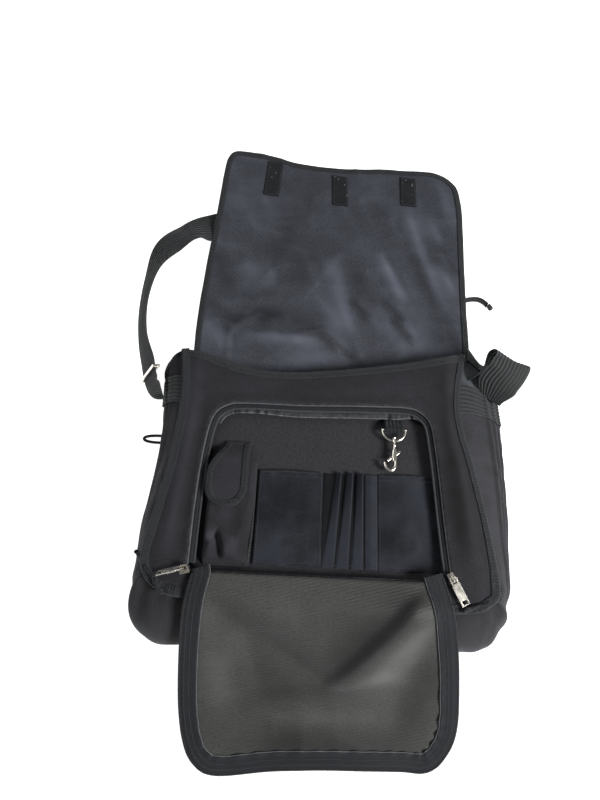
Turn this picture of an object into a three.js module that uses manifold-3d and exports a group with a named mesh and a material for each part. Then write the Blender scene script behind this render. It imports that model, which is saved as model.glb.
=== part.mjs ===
// Laptop shoulder bag lying open on its back: the flap is thrown back beyond the mouth, and the zipped
// front pocket is folded down over the bottom, so that the organiser behind it shows.
// Millimetres. X runs across the bag, Y from its bottom towards its mouth, Z up from the surface it lies on.
// The origin is the middle of the back panel's outer face.
import * as THREE from 'three';
import { mergeVertices } from 'three/addons/utils/BufferGeometryUtils.js';
import Module from 'manifold-3d';

const wasm = await Module();
wasm.setup();

// Cloth and tape
const CLOTH = 1.6;
const TAPE = 1.0;
const WEBBING = 1.8;
const WEBBING_WIDTH = 48;
const BACK_THICK = 3;
const FLAP_THICK = 1.8;
const GAP = 0.4;

// The front panel lies on a plane that falls from the bottom of the bag to its collapsed mouth.
const FRONT_MIDDLE = { y: 41, z: 54 };
const FRONT_SLOPE = Math.atan2(36, 298);
const SEAM_DROP = 5;
const SEAM_INSET = 0.005;
const MOUTH_SAG = 8;
const ORGANISER_DEPTH = 14;
const ORGANISER_SAG = 0.5;
const HINGE_Y = -120;

// Chain of a zip, its sliders and their pulls
const CHAIN_RADIUS = 1.5;
const CHAIN_SIDES = 6;
const SLIDER = { long: 11, wide: 8.5, high: 4.4, slot: 1.8, waist: 3.2, bridge: 3.6, wire: 1.2, root: 0.6 };
const PULL = { wide: 9.5, long: 31, thick: 1.4, window: 6.2, bar: 1.4, rail: 1.5, neck: 3.9 };

// Places of the two sliders on the front panel's plane; heading, pitch and roll turn the slider with its
// pull, and rest is how far the pull hangs below the slider's own plane.
const SLIDERS = [
  { side: 'left', x: -151, y: -121, z: 6.1, heading: 3.33, pitch: 0.15, roll: 0.85, rest: 0.08 },
  { side: 'right', x: 136, y: -116.5, z: 2.95, heading: -1.07, pitch: 0.12, roll: 0.08, rest: 0.08 },
];

// Phone pocket: its middle, upper edge and sizes on the organiser panel
const PHONE = { x: -109.5, top: 4, wide: 51, high: 16, long: 116, sheet: 1.4 };

const PHONE_CORNER = 4;
const TONGUE = { x: -115, root: 32, long: 84, half: 15, widen: 9, roundFrom: 28, roundLong: 24, lean: 2 };

// Flat pockets and pen slots: lower edge, height, how far they stand out, and the pleats
const CARD = { bottom: -110, long: 108, bow: 3 };
const PLEATS = { start: -4.4, pitch: 16.2, count: 3, high: 6.6 };

// Key hook: the bar lies across the tab, and the eye, hook and gate are measured from the bar's middle
const KEY_X = 78;
const BAR_Y = 53;
const AXIS_HEIGHT = 8.5;
const TAB = { wide: 23, thick: 1.5, bend: 2.9, top: 81, low: 1.3, high: 3.6 };
const EYE = { radius: 14, wire: 1.5, end: 1.75 };
const COLLAR = { y: -EYE.radius, radius: 3.3, bore: 1.6, long: 5 };
const NECK = { radius: 1.25, head: 2.5, headLong: 1.6 };
const SHAFT = { wide: 5, thick: 4.6, top: -18, bottom: -39 };
const SLOT = { thick: 2.2, top: -25.2, bottom: -37.9 };
const GATE = { pivotY: -31.5, wide: 2, thick: 1.5, pin: 0.9, pinHole: 1.25, knob: 1.6, knobLong: 4 };
const GATE_TIP = { x: -8.4, y: -38.2 };
const GATE_KNOB = { x: 6, y: -27.6 };
const HOOK_WIRE = 1.8;
const HOOK_PATH = [
  [0.6, -37, 0], [1, -42, 0], [-0.4, -47.4, 0], [-5, -50.4, 0],
  [-9.6, -47.4, 0], [-11.4, -42.4, 0], [-11.5, -40, 0],
];

// Rows of a table as records with named columns.
function table(columns, ...rows) {
  return rows.map((row) => Object.fromEntries(columns.map((name, i) => [name, row[i]])));
}

// The two seams of the gusset, from the left end of the mouth round the bottom to the right end. The back
// columns are on the floor plane, the front columns on the front panel's plane, and bulge is how far the
// gusset swells outwards between them.
const SEAMS = table(
  ['backX', 'backY', 'frontX', 'frontY', 'bulge'],
  [-200, 150, -187, 145, 12],
  [-200, 100, -180, 85, 10],
  [-200, 30, -184, 9, 10],
  [-200, -60, -195, -61, 13],
  [-200, -108, -201, -112, 11],
  [-188, -142, -183, -138, 21],
  [-140, -150, -140, -148, 14],
  [0, -150, 0, -152, 11],
  [140, -150, 145, -150, 10],
  [181, -141, 178, -141, 13],
  [199, -105, 188, -124, 10],
  [200, -60, 182, -66, 17],
  [200, 30, 170, 5, 23],
  [200, 100, 156, 81, 24],
  [200, 150, 167, 157, 14],
);
const LAST_SEAM = SEAMS.length - 1;
const CORNER_LEFT = 5 / LAST_SEAM;
const CORNER_RIGHT = 9 / LAST_SEAM;

// Upper edge of the front panel, which dips between the two ends of the mouth.
const MOUTH = table(
  ['x', 'y'],
  [-187, 145], [-157, 138], [-112, 122], [-62, 116], [-1, 122], [86, 136], [132, 147], [167, 157],
);

// Section of the hem on that edge: where it starts down the panel, how far it stands out, and how high.
const HEM = table(['reach', 'out', 'up'], [0.94, 0, 2], [1, 1.4, 1.9], [1, 1.4, -3.6]);

// Sections of the strips that follow an edge: how far out from the edge, and how high above its surface.
const SEAM_SECTION = table(['out', 'up'], [-9, -0.8], [1.3, GAP + 1.3 - SEAM_DROP], [1.3, -SEAM_DROP - 3.2]);
const FLAP_SECTION = table(['out', 'up'], [-7, 2.4], [1.3, 2.1], [1.3, -1.4]);
const ZIP_SECTION = table(['out', 'up'], [5, -CLOTH / 2 - GAP - TAPE / 2], [-1, -1.8], [-5, -2.2]);
const FACING_SECTION = table(['out', 'up'], [3, -3.2], [-4, -4.8], [-14, -6.4]);

// Edge of the zipped opening, from the left end of the hinge over the top to the right end.
const OPENING = table(
  ['x', 'y'],
  [-149, -118], [-147, -60], [-144, 0], [-141, 40], [-135, 62], [-121, 74], [-100, 78], [-30, 78],
  [40, 80], [92, 80], [110, 74], [121, 60], [125, 35], [128, 0], [132, -60], [137, -118],
);

// Free edge of the flap, from the left end of its root round the far side to the right end.
const FLAP = table(
  ['x', 'y'],
  [-176, 150.4], [-176, 235], [-171, 315], [-162, 400], [-157, 470], [-151, 494], [-136, 501],
  [-95, 497], [-50, 487], [12, 482], [90, 479], [140, 476], [164, 462], [173, 438], [176, 390],
  [176, 315], [176, 235], [175, 150.4],
);
const LAST_FLAP = FLAP.length - 1;

// Fastening strips on the flap's lining: middle of the far end, length and sideways lean.
const STRIPS = table(
  ['x', 'y', 'long', 'lean'],
  [-88, 486, 47, -2], [7, 470, 48, -2], [102, 467, 46, -1],
);
const STRIP_WIDTH = 21;

// Where the strap comes out from under the flap it lifts the flap's edge.
const STRAP_LIFTS = table(['x', 'y', 'high'], [-180, 375, 6], [177, 204, 8.5]);

// Free edge of the pocket panel, by distance down its drape, and the drape itself from the hinge down.
const PANEL = table(
  ['x', 'down'],
  [-141, 0], [-147, 35], [-151, 90], [-151.5, 145], [-146.5, 186], [-134, 212], [-108, 224], [-45, 217],
  [23, 212], [88, 211], [118, 211], [137, 197], [149, 167], [147, 105], [141, 40], [131, 0],
);
const LAST_PANEL = PANEL.length - 1;
const DRAPE = table(
  ['y', 'z'],
  [-80, 71.3], [-98, 72.4], [-113, 71.8], [-129, 65], [-150, 53], [-180, 36.5], [-212, 22], [-245, 11],
  [-285, 5], [-312, 4.4],
);
const DRAPE_STEPS = 200;
const TAPE_WIDTH = 18;

// Where the chain of each zip runs: out from the panel's edge, and in from the edge of the opening.
const PANEL_CHAIN = { out: 2.35, up: 0.6 };
const OPENING_CHAIN = { in: 7, up: -2.4 };

// Shoulder strap from the left anchor, under the flap, to the right anchor. The last three columns are the
// direction across the webbing: upright where it stands on edge, level where it lies flat.
const STRAP = table(
  ['x', 'y', 'z', 'wideX', 'wideY', 'wideZ'],
  [-210.2, 135.4, 24.5, 0.05, 0.2, 0.97],
  [-219, 139, 24.5, 0.3, 0.3, 0.9],
  [-225.5, 150, 24.5, 0.42, 0.25, 0.87],
  [-231, 169, 24.5, 0.5, 0.1, 0.86],
  [-242, 205, 24.5, 0.3, 0, 0.95],
  [-246, 250, 24.5, 0.12, 0, 1],
  [-241, 298, 24, 0.35, -0.15, 0.93],
  [-227, 340, 19, 0.6, -0.5, 0.62],
  [-201, 367, 10, 0.45, -0.8, 0.3],
  [-172, 376, 3, 0.2, -0.97, 0.06],
  [-125, 386, 1.5, 0, -1, 0],
  [-40, 371, 1.4, -0.3, -0.95, 0],
  [45, 327, 1.4, -0.55, -0.83, 0],
  [105, 272, 1.4, -0.6, -0.8, 0],
  [142, 232, 1.5, -0.58, -0.81, 0],
  [164, 216, 2, -0.5, -0.86, 0],
  [187, 209, 4, -0.4, -0.9, 0.06],
  [202, 206, 17, -0.65, -0.35, 0.65],
  [209, 199, 32, -0.92, -0.1, 0.3],
  [213, 190, 47, -0.9, 0.35, 0.2],
  [217.5, 181, 61, -0.87, 0.48, 0.16],
  [213, 168, 57, -0.86, 0.45, 0.25],
  [207, 156, 45, -0.84, 0.45, 0.32],
  [200.8, 142.9, 28.6, -0.8, 0.5, 0.36],
);
const STRAP_SLIDER_AT = 2.4 / (STRAP.length - 1);
const BUCKLE = { wide: WEBBING_WIDTH + 8, long: 9.6, thick: 3.4, slotWide: WEBBING_WIDTH + 2, slotLong: WEBBING + 1.8 };

// Strap anchors: part of the gusset's length that each one covers, counted in rows of the seams
const ANCHORS = { left: { from: 0.28, to: 0.78 }, right: { from: LAST_SEAM - 1.05, to: LAST_SEAM - 0.58 } };

// Cords of the two small zip pulls
const CORD_DIAMETER = 2.2;
const SIDE_CORD = [
  [-203.7, 84, 2.4], [-210, 84.2, 2], [-217, 84, 1.6], [-224, 83.2, 1.6], [-229.5, 81, 1.6],
  [-231.5, 77.5, 1.6],
  [-229.5, 74, 1.6], [-224, 71.6, 1.6], [-217, 70.8, 1.6], [-210, 70.6, 2], [-203.7, 71, 2.4],
];
const FLAP_CORD = [
  [172, 288, 5.95], [178, 290.4, 4.3], [185, 292.4, 2.6], [192, 293.6, 1.6], [199, 293, 1.6],
  [205, 290, 1.6], [209.5, 285.4, 1.6], [211.6, 281.4, 1.6],
];
const FLAP_CORD_BACK = 4;
const CORD_END = { x: 212.4, y: 279.2, turn: 0.5, radius: 3.4, long: 9 };

// A table's smooth curve at t from 0 to 1, column by column.
function along(rows, t) {
  const last = rows.length - 1;
  const place = Math.min(Math.max(t, 0), 1) * last;
  const i = Math.min(Math.floor(place), last - 1);
  const f = place - i;
  const row = (k) => rows[Math.min(Math.max(k, 0), last)];
  const blend = (a, b, c, d) =>
    0.5 * (2 * b + (c - a) * f + (2 * a - 5 * b + 4 * c - d) * f * f + (3 * b - a - 3 * c + d) * f * f * f);
  return Object.fromEntries(
    Object.keys(rows[0]).map((k) => [k, blend(row(i - 1)[k], row(i)[k], row(i + 1)[k], row(i + 2)[k])]),
  );
}

// A table's line of straight lengths at t from 0 to 1, column by column.
function onLine(rows, t) {
  const last = rows.length - 1;
  const i = Math.min(Math.floor(t * last), last - 1);
  const mix = (k) => rows[i][k] + (rows[i + 1][k] - rows[i][k]) * (t * last - i);
  return Object.fromEntries(Object.keys(rows[0]).map((k) => [k, mix(k)]));
}

// Eases from 0 to 1 as x goes from 0 to 1.
function ease(x) {
  const t = Math.min(Math.max(x, 0), 1);
  return t * t * (3 - 2 * t);
}

// A point of a plane curve with its outward normal, for a curve that goes anticlockwise round the piece.
function edgePoint(curve, t) {
  const step = 0.002;
  const [a, b] = [curve(Math.max(t - step, 0)), curve(Math.min(t + step, 1))];
  const length = Math.hypot(b.x - a.x, b.y - a.y);
  return { ...curve(t), outX: (b.y - a.y) / length, outY: (a.x - b.x) / length };
}

// Part of a curve, spaced evenly in one coordinate, which rises or falls all the way.
function evenly(curve, key, from, to) {
  const [first, last] = [curve(from)[key], curve(to)[key]];
  return (t) => {
    const wanted = first + (last - first) * t;
    let [low, high] = [from, to];
    for (let i = 0; i < 30; i++) {
      const middle = (low + high) / 2;
      const short = last > first ? curve(middle)[key] < wanted : curve(middle)[key] > wanted;
      if (short) low = middle;
      else high = middle;
    }
    return { ...curve(low), [key]: wanted };
  };
}

// A patch of the plane between four edges: left and right run up, bottom and top run to the right.
function coons({ left, right, bottom, top }, u, v) {
  const [l, r, b, t] = [left(v), right(v), bottom(u), top(u)];
  const [c00, c10, c01, c11] = [bottom(0), bottom(1), top(0), top(1)];
  const mix = (k) =>
    (1 - u) * l[k] + u * r[k] + (1 - v) * b[k] + v * t[k] -
    ((1 - u) * (1 - v) * c00[k] + u * (1 - v) * c10[k] + (1 - u) * v * c01[k] + u * v * c11[k]);
  return { x: mix('x'), y: mix('y') };
}

// A closed wall of even thickness about a surface, which maps u and v from 0 to 1 to a point.
function wall(surface, across, up, thick) {
  const positions = [];
  const faces = [];
  const count = (across + 1) * (up + 1);
  const [du, dv] = [0.2 / across, 0.2 / up];
  for (const side of [0.5, -0.5]) {
    for (let j = 0; j <= up; j++) {
      for (let i = 0; i <= across; i++) {
        const [u, v] = [i / across, j / up];
        const alongU = surface(Math.min(u + du, 1), v).sub(surface(Math.max(u - du, 0), v));
        const alongV = surface(u, Math.min(v + dv, 1)).sub(surface(u, Math.max(v - dv, 0)));
        const normal = alongU.cross(alongV).normalize();
        positions.push(...surface(u, v).addScaledVector(normal, side * thick).toArray());
      }
    }
  }
  const quad = (a, b, c, d) => faces.push(a, b, c, a, c, d);
  const at = (i, j) => j * (across + 1) + i;
  for (let j = 0; j < up; j++) {
    for (let i = 0; i < across; i++) {
      quad(at(i, j), at(i + 1, j), at(i + 1, j + 1), at(i, j + 1));
      quad(count + at(i, j), count + at(i, j + 1), count + at(i + 1, j + 1), count + at(i + 1, j));
    }
  }
  for (let i = 0; i < across; i++) {
    quad(count + at(i, 0), count + at(i + 1, 0), at(i + 1, 0), at(i, 0));
    quad(at(i, up), at(i + 1, up), count + at(i + 1, up), count + at(i, up));
  }
  for (let j = 0; j < up; j++) {
    quad(at(0, j), at(0, j + 1), count + at(0, j + 1), count + at(0, j));
    quad(count + at(across, j), count + at(across, j + 1), at(across, j + 1), at(across, j));
  }
  const geometry = new THREE.BufferGeometry();
  geometry.setAttribute('position', new THREE.Float32BufferAttribute(positions, 3));
  geometry.setIndex(faces);
  return geometry;
}

// A folded strip that follows an edge.
function strip(curve, section, place, segments, thick, from = 0, to = 1) {
  const surface = (u, v) => {
    const edge = edgePoint(curve, from + (to - from) * u);
    const { out, up } = onLine(section, v);
    return place(edge.x + edge.outX * out, edge.y + edge.outY * out, up);
  };
  return wall(surface, segments, section.length - 1, thick);
}

// A round bar along a curve.
function bar(curve, radius, sides, steps) {
  const section = new THREE.Shape(
    Array.from({ length: sides }, (_, i) => {
      const angle = (2 * Math.PI * i) / sides;
      return new THREE.Vector2(radius * Math.cos(angle), radius * Math.sin(angle));
    }),
  );
  return new THREE.ExtrudeGeometry(section, { steps, extrudePath: curve });
}

function smoothCurve(points) {
  return new THREE.CatmullRomCurve3(points.map((p) => new THREE.Vector3(...p)));
}

function cylinder(radius, length, sides) {
  return new THREE.CylinderGeometry(radius, radius, length, sides);
}

function plate(points, holes, thick) {
  const shape = new THREE.Shape(points.map(([x, y]) => new THREE.Vector2(x, y)));
  holes.forEach((hole) => shape.holes.push(new THREE.Path(hole.map(([x, y]) => new THREE.Vector2(x, y)))));
  return new THREE.ExtrudeGeometry(shape, { depth: thick, bevelEnabled: false });
}

function rectangle(width, height, x = 0, y = 0) {
  const [w, h] = [width / 2, height / 2];
  return [[x - w, y - h], [x + w, y - h], [x + w, y + h], [x - w, y + h]];
}

function solidOf(geometry) {
  const bare = geometry.clone();
  bare.deleteAttribute('normal');
  bare.deleteAttribute('uv');
  const merged = mergeVertices(bare, 1e-4);
  return new wasm.Manifold(new wasm.Mesh({
    numProp: 3,
    vertProperties: merged.attributes.position.array,
    triVerts: new Uint32Array(merged.index.array),
  }));
}

function geometryOf(solid) {
  const mesh = solid.getMesh();
  const geometry = new THREE.BufferGeometry();
  geometry.setAttribute('position', new THREE.BufferAttribute(new Float32Array(mesh.vertProperties), 3));
  geometry.setIndex(new THREE.BufferAttribute(new Uint32Array(mesh.triVerts), 1));
  return geometry;
}

const join = (...pieces) => geometryOf(pieces.map(solidOf).reduce((a, b) => a.add(b)));
const cut = (piece, ...tools) =>
  geometryOf(tools.map(solidOf).reduce((a, b) => a.subtract(b), solidOf(piece)));

// Materials
const cloth = (color, roughness) => new THREE.MeshStandardMaterial({ color, roughness, metalness: 0 });
const canvas = cloth('#2e2e33', 0.9);
const lining = cloth('#3a3c46', 0.55);
const mesh = cloth('#4c4d48', 0.7);
const binding = cloth('#212226', 0.85);
const zipTape = cloth('#262a33', 0.8);
const webbing = cloth('#26282a', 0.8);
const nylon = cloth('#24262d', 0.6);
const hooks = cloth('#18191c', 0.95);
const chain = new THREE.MeshStandardMaterial({ color: '#3a3c40', roughness: 0.5, metalness: 0 });
const nickel = new THREE.MeshStandardMaterial({ color: '#d8d2c4', roughness: 0.25, metalness: 1 });
const rubber = cloth('#1c1d1e', 0.7);

const bag = new THREE.Group();
const front = new THREE.Group();
front.position.set(0, FRONT_MIDDLE.y, FRONT_MIDDLE.z);
front.rotation.x = -FRONT_SLOPE;
front.updateMatrixWorld(true);
const organiser = new THREE.Group();
organiser.position.z = -ORGANISER_DEPTH;
front.add(organiser);
bag.add(front);

const flat = (x, y, z) => new THREE.Vector3(x, y, z);
const onFront = (x, y, z) => new THREE.Vector3(x, y, z).applyMatrix4(front.matrixWorld);

function add(parent, name, geometry, material) {
  const piece = new THREE.Mesh(geometry, material.clone());
  piece.name = name;
  parent.add(piece);
  return piece;
}

// Seams and panels of the body
const backEdge = (s) => {
  const row = along(SEAMS, s);
  return { x: row.backX, y: row.backY };
};
const frontEdge = (s) => {
  const row = along(SEAMS, s);
  return { x: row.frontX, y: row.frontY };
};
const mouthEdge = (u) => along(MOUTH, u);
const frontSides = {
  left: evenly(frontEdge, 'y', CORNER_LEFT, 0),
  right: evenly(frontEdge, 'y', CORNER_RIGHT, 1),
  bottom: evenly(frontEdge, 'x', CORNER_LEFT, CORNER_RIGHT),
  top: evenly(mouthEdge, 'x', 0, 1),
};

// Height of the front panel above its plane: it turns down to the seams, and its mouth sags.
function frontHeight(u, v) {
  const side = ease(Math.min(u, 1 - u) / 0.0625) * ease(v / 0.125);
  return -SEAM_DROP * (1 - side) - MOUTH_SAG * Math.sin(Math.PI * u) * ease((v - 0.875) / 0.125);
}

// A point of the front panel's outline, which stops just short of the binding on its seams.
function insideSeams(u, v) {
  return coons(frontSides, SEAM_INSET + (1 - 2 * SEAM_INSET) * u, SEAM_INSET + (1 - SEAM_INSET) * v);
}

function frontPoint(u, v) {
  const { x, y } = insideSeams(u, v);
  return flat(x, y, frontHeight(u, v));
}

function organiserPoint(u, v) {
  const { x, y } = insideSeams(u, v);
  const inside = ease(Math.min(u, 1 - u) / 0.1) * ease(v / 0.125) * ease((1 - v) / 0.125);
  const under = frontHeight(u, v) - CLOTH - 2 * GAP;
  const sag = ORGANISER_SAG * Math.sin(Math.PI * u) * Math.sin(Math.PI * v);
  return flat(x, y, under + (-ORGANISER_DEPTH - CLOTH / 2 - sag - under) * inside);
}

function gussetPoint(s, t) {
  const row = along(SEAMS, s);
  const middle = (q) => {
    const r = along(SEAMS, q);
    const p = onFront(r.frontX, r.frontY, 0);
    return { x: (r.backX + p.x) / 2, y: (r.backY + p.y) / 2 };
  };
  const { outX, outY } = edgePoint(middle, s);
  const out = new THREE.Vector3(outX, outY, 0);
  const low = flat(row.backX, row.backY, 1.3).addScaledVector(out, GAP + CLOTH / 2);
  const high = onFront(row.frontX, row.frontY, -SEAM_DROP - 2 * CLOTH - 3 * GAP).addScaledVector(out, -1.5);
  const swell = row.bulge / 0.75;
  const lowHandle = low.clone().addScaledVector(out, swell).setZ(low.z + 0.45 * (high.z - low.z));
  const highHandle = high.clone().addScaledVector(out, swell + 4).setZ(high.z - 5);
  return new THREE.CubicBezierCurve3(low, lowHandle, highHandle, high).getPoint(t);
}

function makeBody() {
  const outline = Array.from({ length: 57 }, (_, i) => backEdge(i / 56)).map(({ x, y }) => [x, y]);
  add(bag, 'back_panel', plate(outline, [], BACK_THICK), canvas);
  add(bag, 'gusset', wall(gussetPoint, 42, 5, CLOTH), canvas);
  const ring = Array.from({ length: 46 }, (_, i) => along(OPENING, i / 45)).map(({ x, y }) => [x, y]);
  const opening = plate([[ring[0][0], HINGE_Y], ...ring, [ring[45][0], HINGE_Y]].reverse(), [], 40);
  opening.translate(0, 0, -20);
  add(front, 'front_panel', cut(wall(frontPoint, 16, 8, CLOTH), opening), canvas);
  add(front, 'organiser_panel', wall((a, b) => organiserPoint(1 - b, a), 8, 10, CLOTH), canvas);
  add(front, 'front_binding', strip(frontEdge, SEAM_SECTION, flat, 42, TAPE), binding);
  const hem = (u, v) => {
    const { reach, out, up } = onLine(HEM, v);
    return frontPoint(0.05 + 0.9 * u, reach).add(flat(0, out, up));
  };
  add(front, 'mouth_hem', wall(hem, 16, 2, TAPE), binding);
}

// Flap, its binding and its fastening strips
const flapEdge = (t) => along(FLAP, t);
const FLAP_CORNER_LEFT = 5 / LAST_FLAP;
const FLAP_CORNER_RIGHT = 12 / LAST_FLAP;
const flapSides = {
  left: evenly(flapEdge, 'y', 0, FLAP_CORNER_LEFT),
  right: evenly(flapEdge, 'y', 1, FLAP_CORNER_RIGHT),
  bottom: (u) => ({ x: FLAP[0].x + (FLAP[LAST_FLAP].x - FLAP[0].x) * u, y: FLAP[0].y }),
  top: evenly(flapEdge, 'x', FLAP_CORNER_LEFT, FLAP_CORNER_RIGHT),
};

// The flap rises from its root over the strap that it lies on, in low waves.
function flapHeight(x, y) {
  const away = ease((y - 150) / 80);
  const waves = 1.5 * Math.sin(0.028 * x + 0.011 * y) + 1.1 * Math.sin(0.021 * y - 0.017 * x + 1);
  const overStrap = STRAP_LIFTS.reduce(
    (sum, lift) => sum + lift.high * Math.exp(-(((x - lift.x) / 45) ** 2) - ((y - lift.y) / 55) ** 2), 0,
  );
  return 1.9 + away * (5 + waves) + overStrap;
}

function makeFlap() {
  const surface = (u, v) => {
    const { x, y } = coons(flapSides, u, v);
    return flat(x, y, flapHeight(x, y));
  };
  add(bag, 'flap', wall(surface, 14, 14, FLAP_THICK), lining);
  const onFlap = (x, y, z) => flat(x, y, z + flapHeight(x, y));
  const edge = (t) => flapEdge(1 - t);
  add(bag, 'flap_binding', strip(edge, FLAP_SECTION, onFlap, 51, 0.8, 0.004, 0.996), binding);
  STRIPS.forEach(({ x, y, long, lean }, i) => {
    const tapeSurface = (u, v) => {
      const away = v * long;
      const px = x + lean * v + (u - 0.5) * STRIP_WIDTH;
      const py = y - long + away - 0.12 * (px - x);
      return onFlap(px, py, FLAP_THICK / 2 + GAP + 0.7);
    };
    add(bag, `hook_strip_${i + 1}`, wall(tapeSurface, 2, 4, 1.2), hooks);
  });
}

// Pocket panel, which hangs from its hinge over the bottom of the bag
const drapeLengths = Array.from({ length: DRAPE_STEPS + 1 }, (_, i) => i).reduce((sums, i) => {
  if (i === 0) return [0];
  const [a, b] = [along(DRAPE, (i - 1) / DRAPE_STEPS), along(DRAPE, i / DRAPE_STEPS)];
  return [...sums, sums[i - 1] + Math.hypot(b.y - a.y, b.z - a.z)];
}, []);

function drapeAt(down) {
  let i = 1;
  while (i < DRAPE_STEPS && drapeLengths[i] < down) i++;
  const f = (down - drapeLengths[i - 1]) / (drapeLengths[i] - drapeLengths[i - 1]);
  const t = (i - 1 + f) / DRAPE_STEPS;
  const [a, b] = [along(DRAPE, t - 0.004), along(DRAPE, t + 0.004)];
  const length = Math.hypot(b.y - a.y, b.z - a.z);
  return { ...along(DRAPE, t), normalY: (b.z - a.z) / length, normalZ: (a.y - b.y) / length };
}

// Soft folds of the pocket panel: one crease runs from its middle to the right end of the hinge.
function panelFold(x, down) {
  const free = ease((down - 35) / 60);
  const across = (x - 10) * 0.62 + (down - 95) * 0.78;
  const reach = ease((x + 10) / 40) * ease((150 - down) / 60);
  return free * (1.6 * Math.sin(0.035 * x + 0.8) + 2.2 * Math.exp(-((across / 16) ** 2)) * reach);
}

function onPanel(x, down, high) {
  const at = drapeAt(down);
  const lift = high + panelFold(x, down);
  return flat(x, at.y + at.normalY * lift, at.z + at.normalZ * lift);
}

const panelEdge = (t) => {
  const row = along(PANEL, t);
  return { x: row.x, y: -row.down };
};
const panelPlace = (x, y, z) => onPanel(x, Math.max(-y, 0), z);
const PANEL_CORNER_LEFT = 5 / LAST_PANEL;
const PANEL_CORNER_RIGHT = 11 / LAST_PANEL;
const panelSides = {
  left: evenly(panelEdge, 'y', PANEL_CORNER_LEFT, 0),
  right: evenly(panelEdge, 'y', PANEL_CORNER_RIGHT, 1),
  bottom: evenly(panelEdge, 'x', PANEL_CORNER_LEFT, PANEL_CORNER_RIGHT),
  top: (u) => ({ x: PANEL[0].x + (PANEL[LAST_PANEL].x - PANEL[0].x) * u, y: 0 }),
};

function makePocketPanel() {
  const surface = (u, v) => {
    const { x, y } = coons(panelSides, u, v);
    return panelPlace(x, y, 0);
  };
  add(bag, 'pocket_panel', wall(surface, 14, 13, CLOTH), mesh);
  const level = CLOTH / 2 + GAP + TAPE / 2 + 0.3;
  const section = table(['out', 'up'], [0, level], [-TAPE_WIDTH, level]);
  const overBend = (x, y, z) => panelPlace(x, y, z + 1.2 * Math.exp(-(((y + 36) / 22) ** 2)));
  add(bag, 'panel_zip_tape', strip(panelEdge, section, overBend, 45, TAPE, 0.02, 0.98), zipTape);
  const chainPoint = (t) => {
    const e = edgePoint(panelEdge, t);
    return panelPlace(e.x + PANEL_CHAIN.out * e.outX, e.y + PANEL_CHAIN.out * e.outY, PANEL_CHAIN.up);
  };
  const points = Array.from({ length: 49 }, (_, i) => chainPoint(0.035 + (0.93 * i) / 48));
  const path = new THREE.CatmullRomCurve3(points);
  add(bag, 'panel_zip_chain', bar(path, CHAIN_RADIUS, CHAIN_SIDES, 42), chain);
}

// Zip round the opening, with the facing inside it
const openingEdge = (t) => along(OPENING, 1 - t);

function chainOnOpening(t) {
  const e = edgePoint(openingEdge, 1 - t);
  return flat(e.x - OPENING_CHAIN.in * e.outX, e.y - OPENING_CHAIN.in * e.outY, OPENING_CHAIN.up);
}

function makeOpeningZip() {
  add(front, 'opening_zip_tape', strip(openingEdge, ZIP_SECTION, flat, 38, TAPE, 0.02, 0.98), zipTape);
  const points = Array.from({ length: 41 }, (_, i) => chainOnOpening(0.008 + (0.984 * i) / 40));
  const path = new THREE.CatmullRomCurve3(points);
  add(front, 'opening_zip_chain', bar(path, CHAIN_RADIUS, CHAIN_SIDES, 36), chain);
  add(front, 'opening_facing', strip(openingEdge, FACING_SECTION, flat, 18, TAPE, 0.28, 0.7), binding);
}

// A zip slider and the pull on its bridge, both made with the pull along X.
function sliderGeometry() {
  const { long, wide, high, slot, waist, bridge, wire, root } = SLIDER;
  const half = long / 2;
  const taper = 0.38 * wide;
  const body = plate([[-half, -taper], [half, -wide / 2], [half, wide / 2], [-half, taper]], [], high);
  body.translate(0, 0, -high / 2);
  const slots = [-1, 1].map((side) => {
    const box = new THREE.BoxGeometry(long + 2, wide, slot);
    return box.translate(0, (side * (waist + wide)) / 2, 0);
  });
  const arch = plate(
    [[-4.6, 0], [4.6, 0], [4.6, bridge], [3.4, bridge + wire], [-3.4, bridge + wire], [-4.6, bridge]],
    [[[-3.3, root], [3.3, root], [3.3, bridge - 0.4], [2.9, bridge], [-2.9, bridge], [-3.3, bridge - 0.4]]],
    2.4,
  );
  arch.translate(0, 0, -1.2);
  arch.rotateX(Math.PI / 2);
  arch.translate(0, 0, high / 2 - root);
  return join(cut(body, ...slots), arch);
}

function pullGeometry() {
  const { wide, long, thick, window, bar: inner, rail, neck } = PULL;
  const start = -inner / 2;
  const shoulder = window + inner;
  const outline = [
    [start, -neck], [shoulder, -neck], [shoulder, -wide / 2], [long, -wide / 2],
    [long, wide / 2], [shoulder, wide / 2], [shoulder, neck], [start, neck],
  ];
  const inside = neck - rail;
  const hole = [[start + inner, -inside], [window, -inside], [window, inside], [start + inner, inside]];
  const notch = rectangle(4, 5.6, long - 3.4);
  const geometry = plate(outline, [hole, notch], thick);
  return geometry.translate(0, 0, -thick / 2);
}

function makeSlider({ side, x, y, z, heading, pitch, roll, rest }) {
  const group = new THREE.Group();
  group.position.set(x, y, z);
  group.rotation.set(roll, pitch, heading, 'ZYX');
  front.add(group);
  add(group, `zip_slider_${side}`, sliderGeometry(), nickel);
  const pull = add(group, `zip_pull_${side}`, pullGeometry(), nickel);
  pull.position.z = SLIDER.high / 2 + (SLIDER.bridge - SLIDER.root) / 2;
  pull.rotation.y = rest;
}

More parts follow.
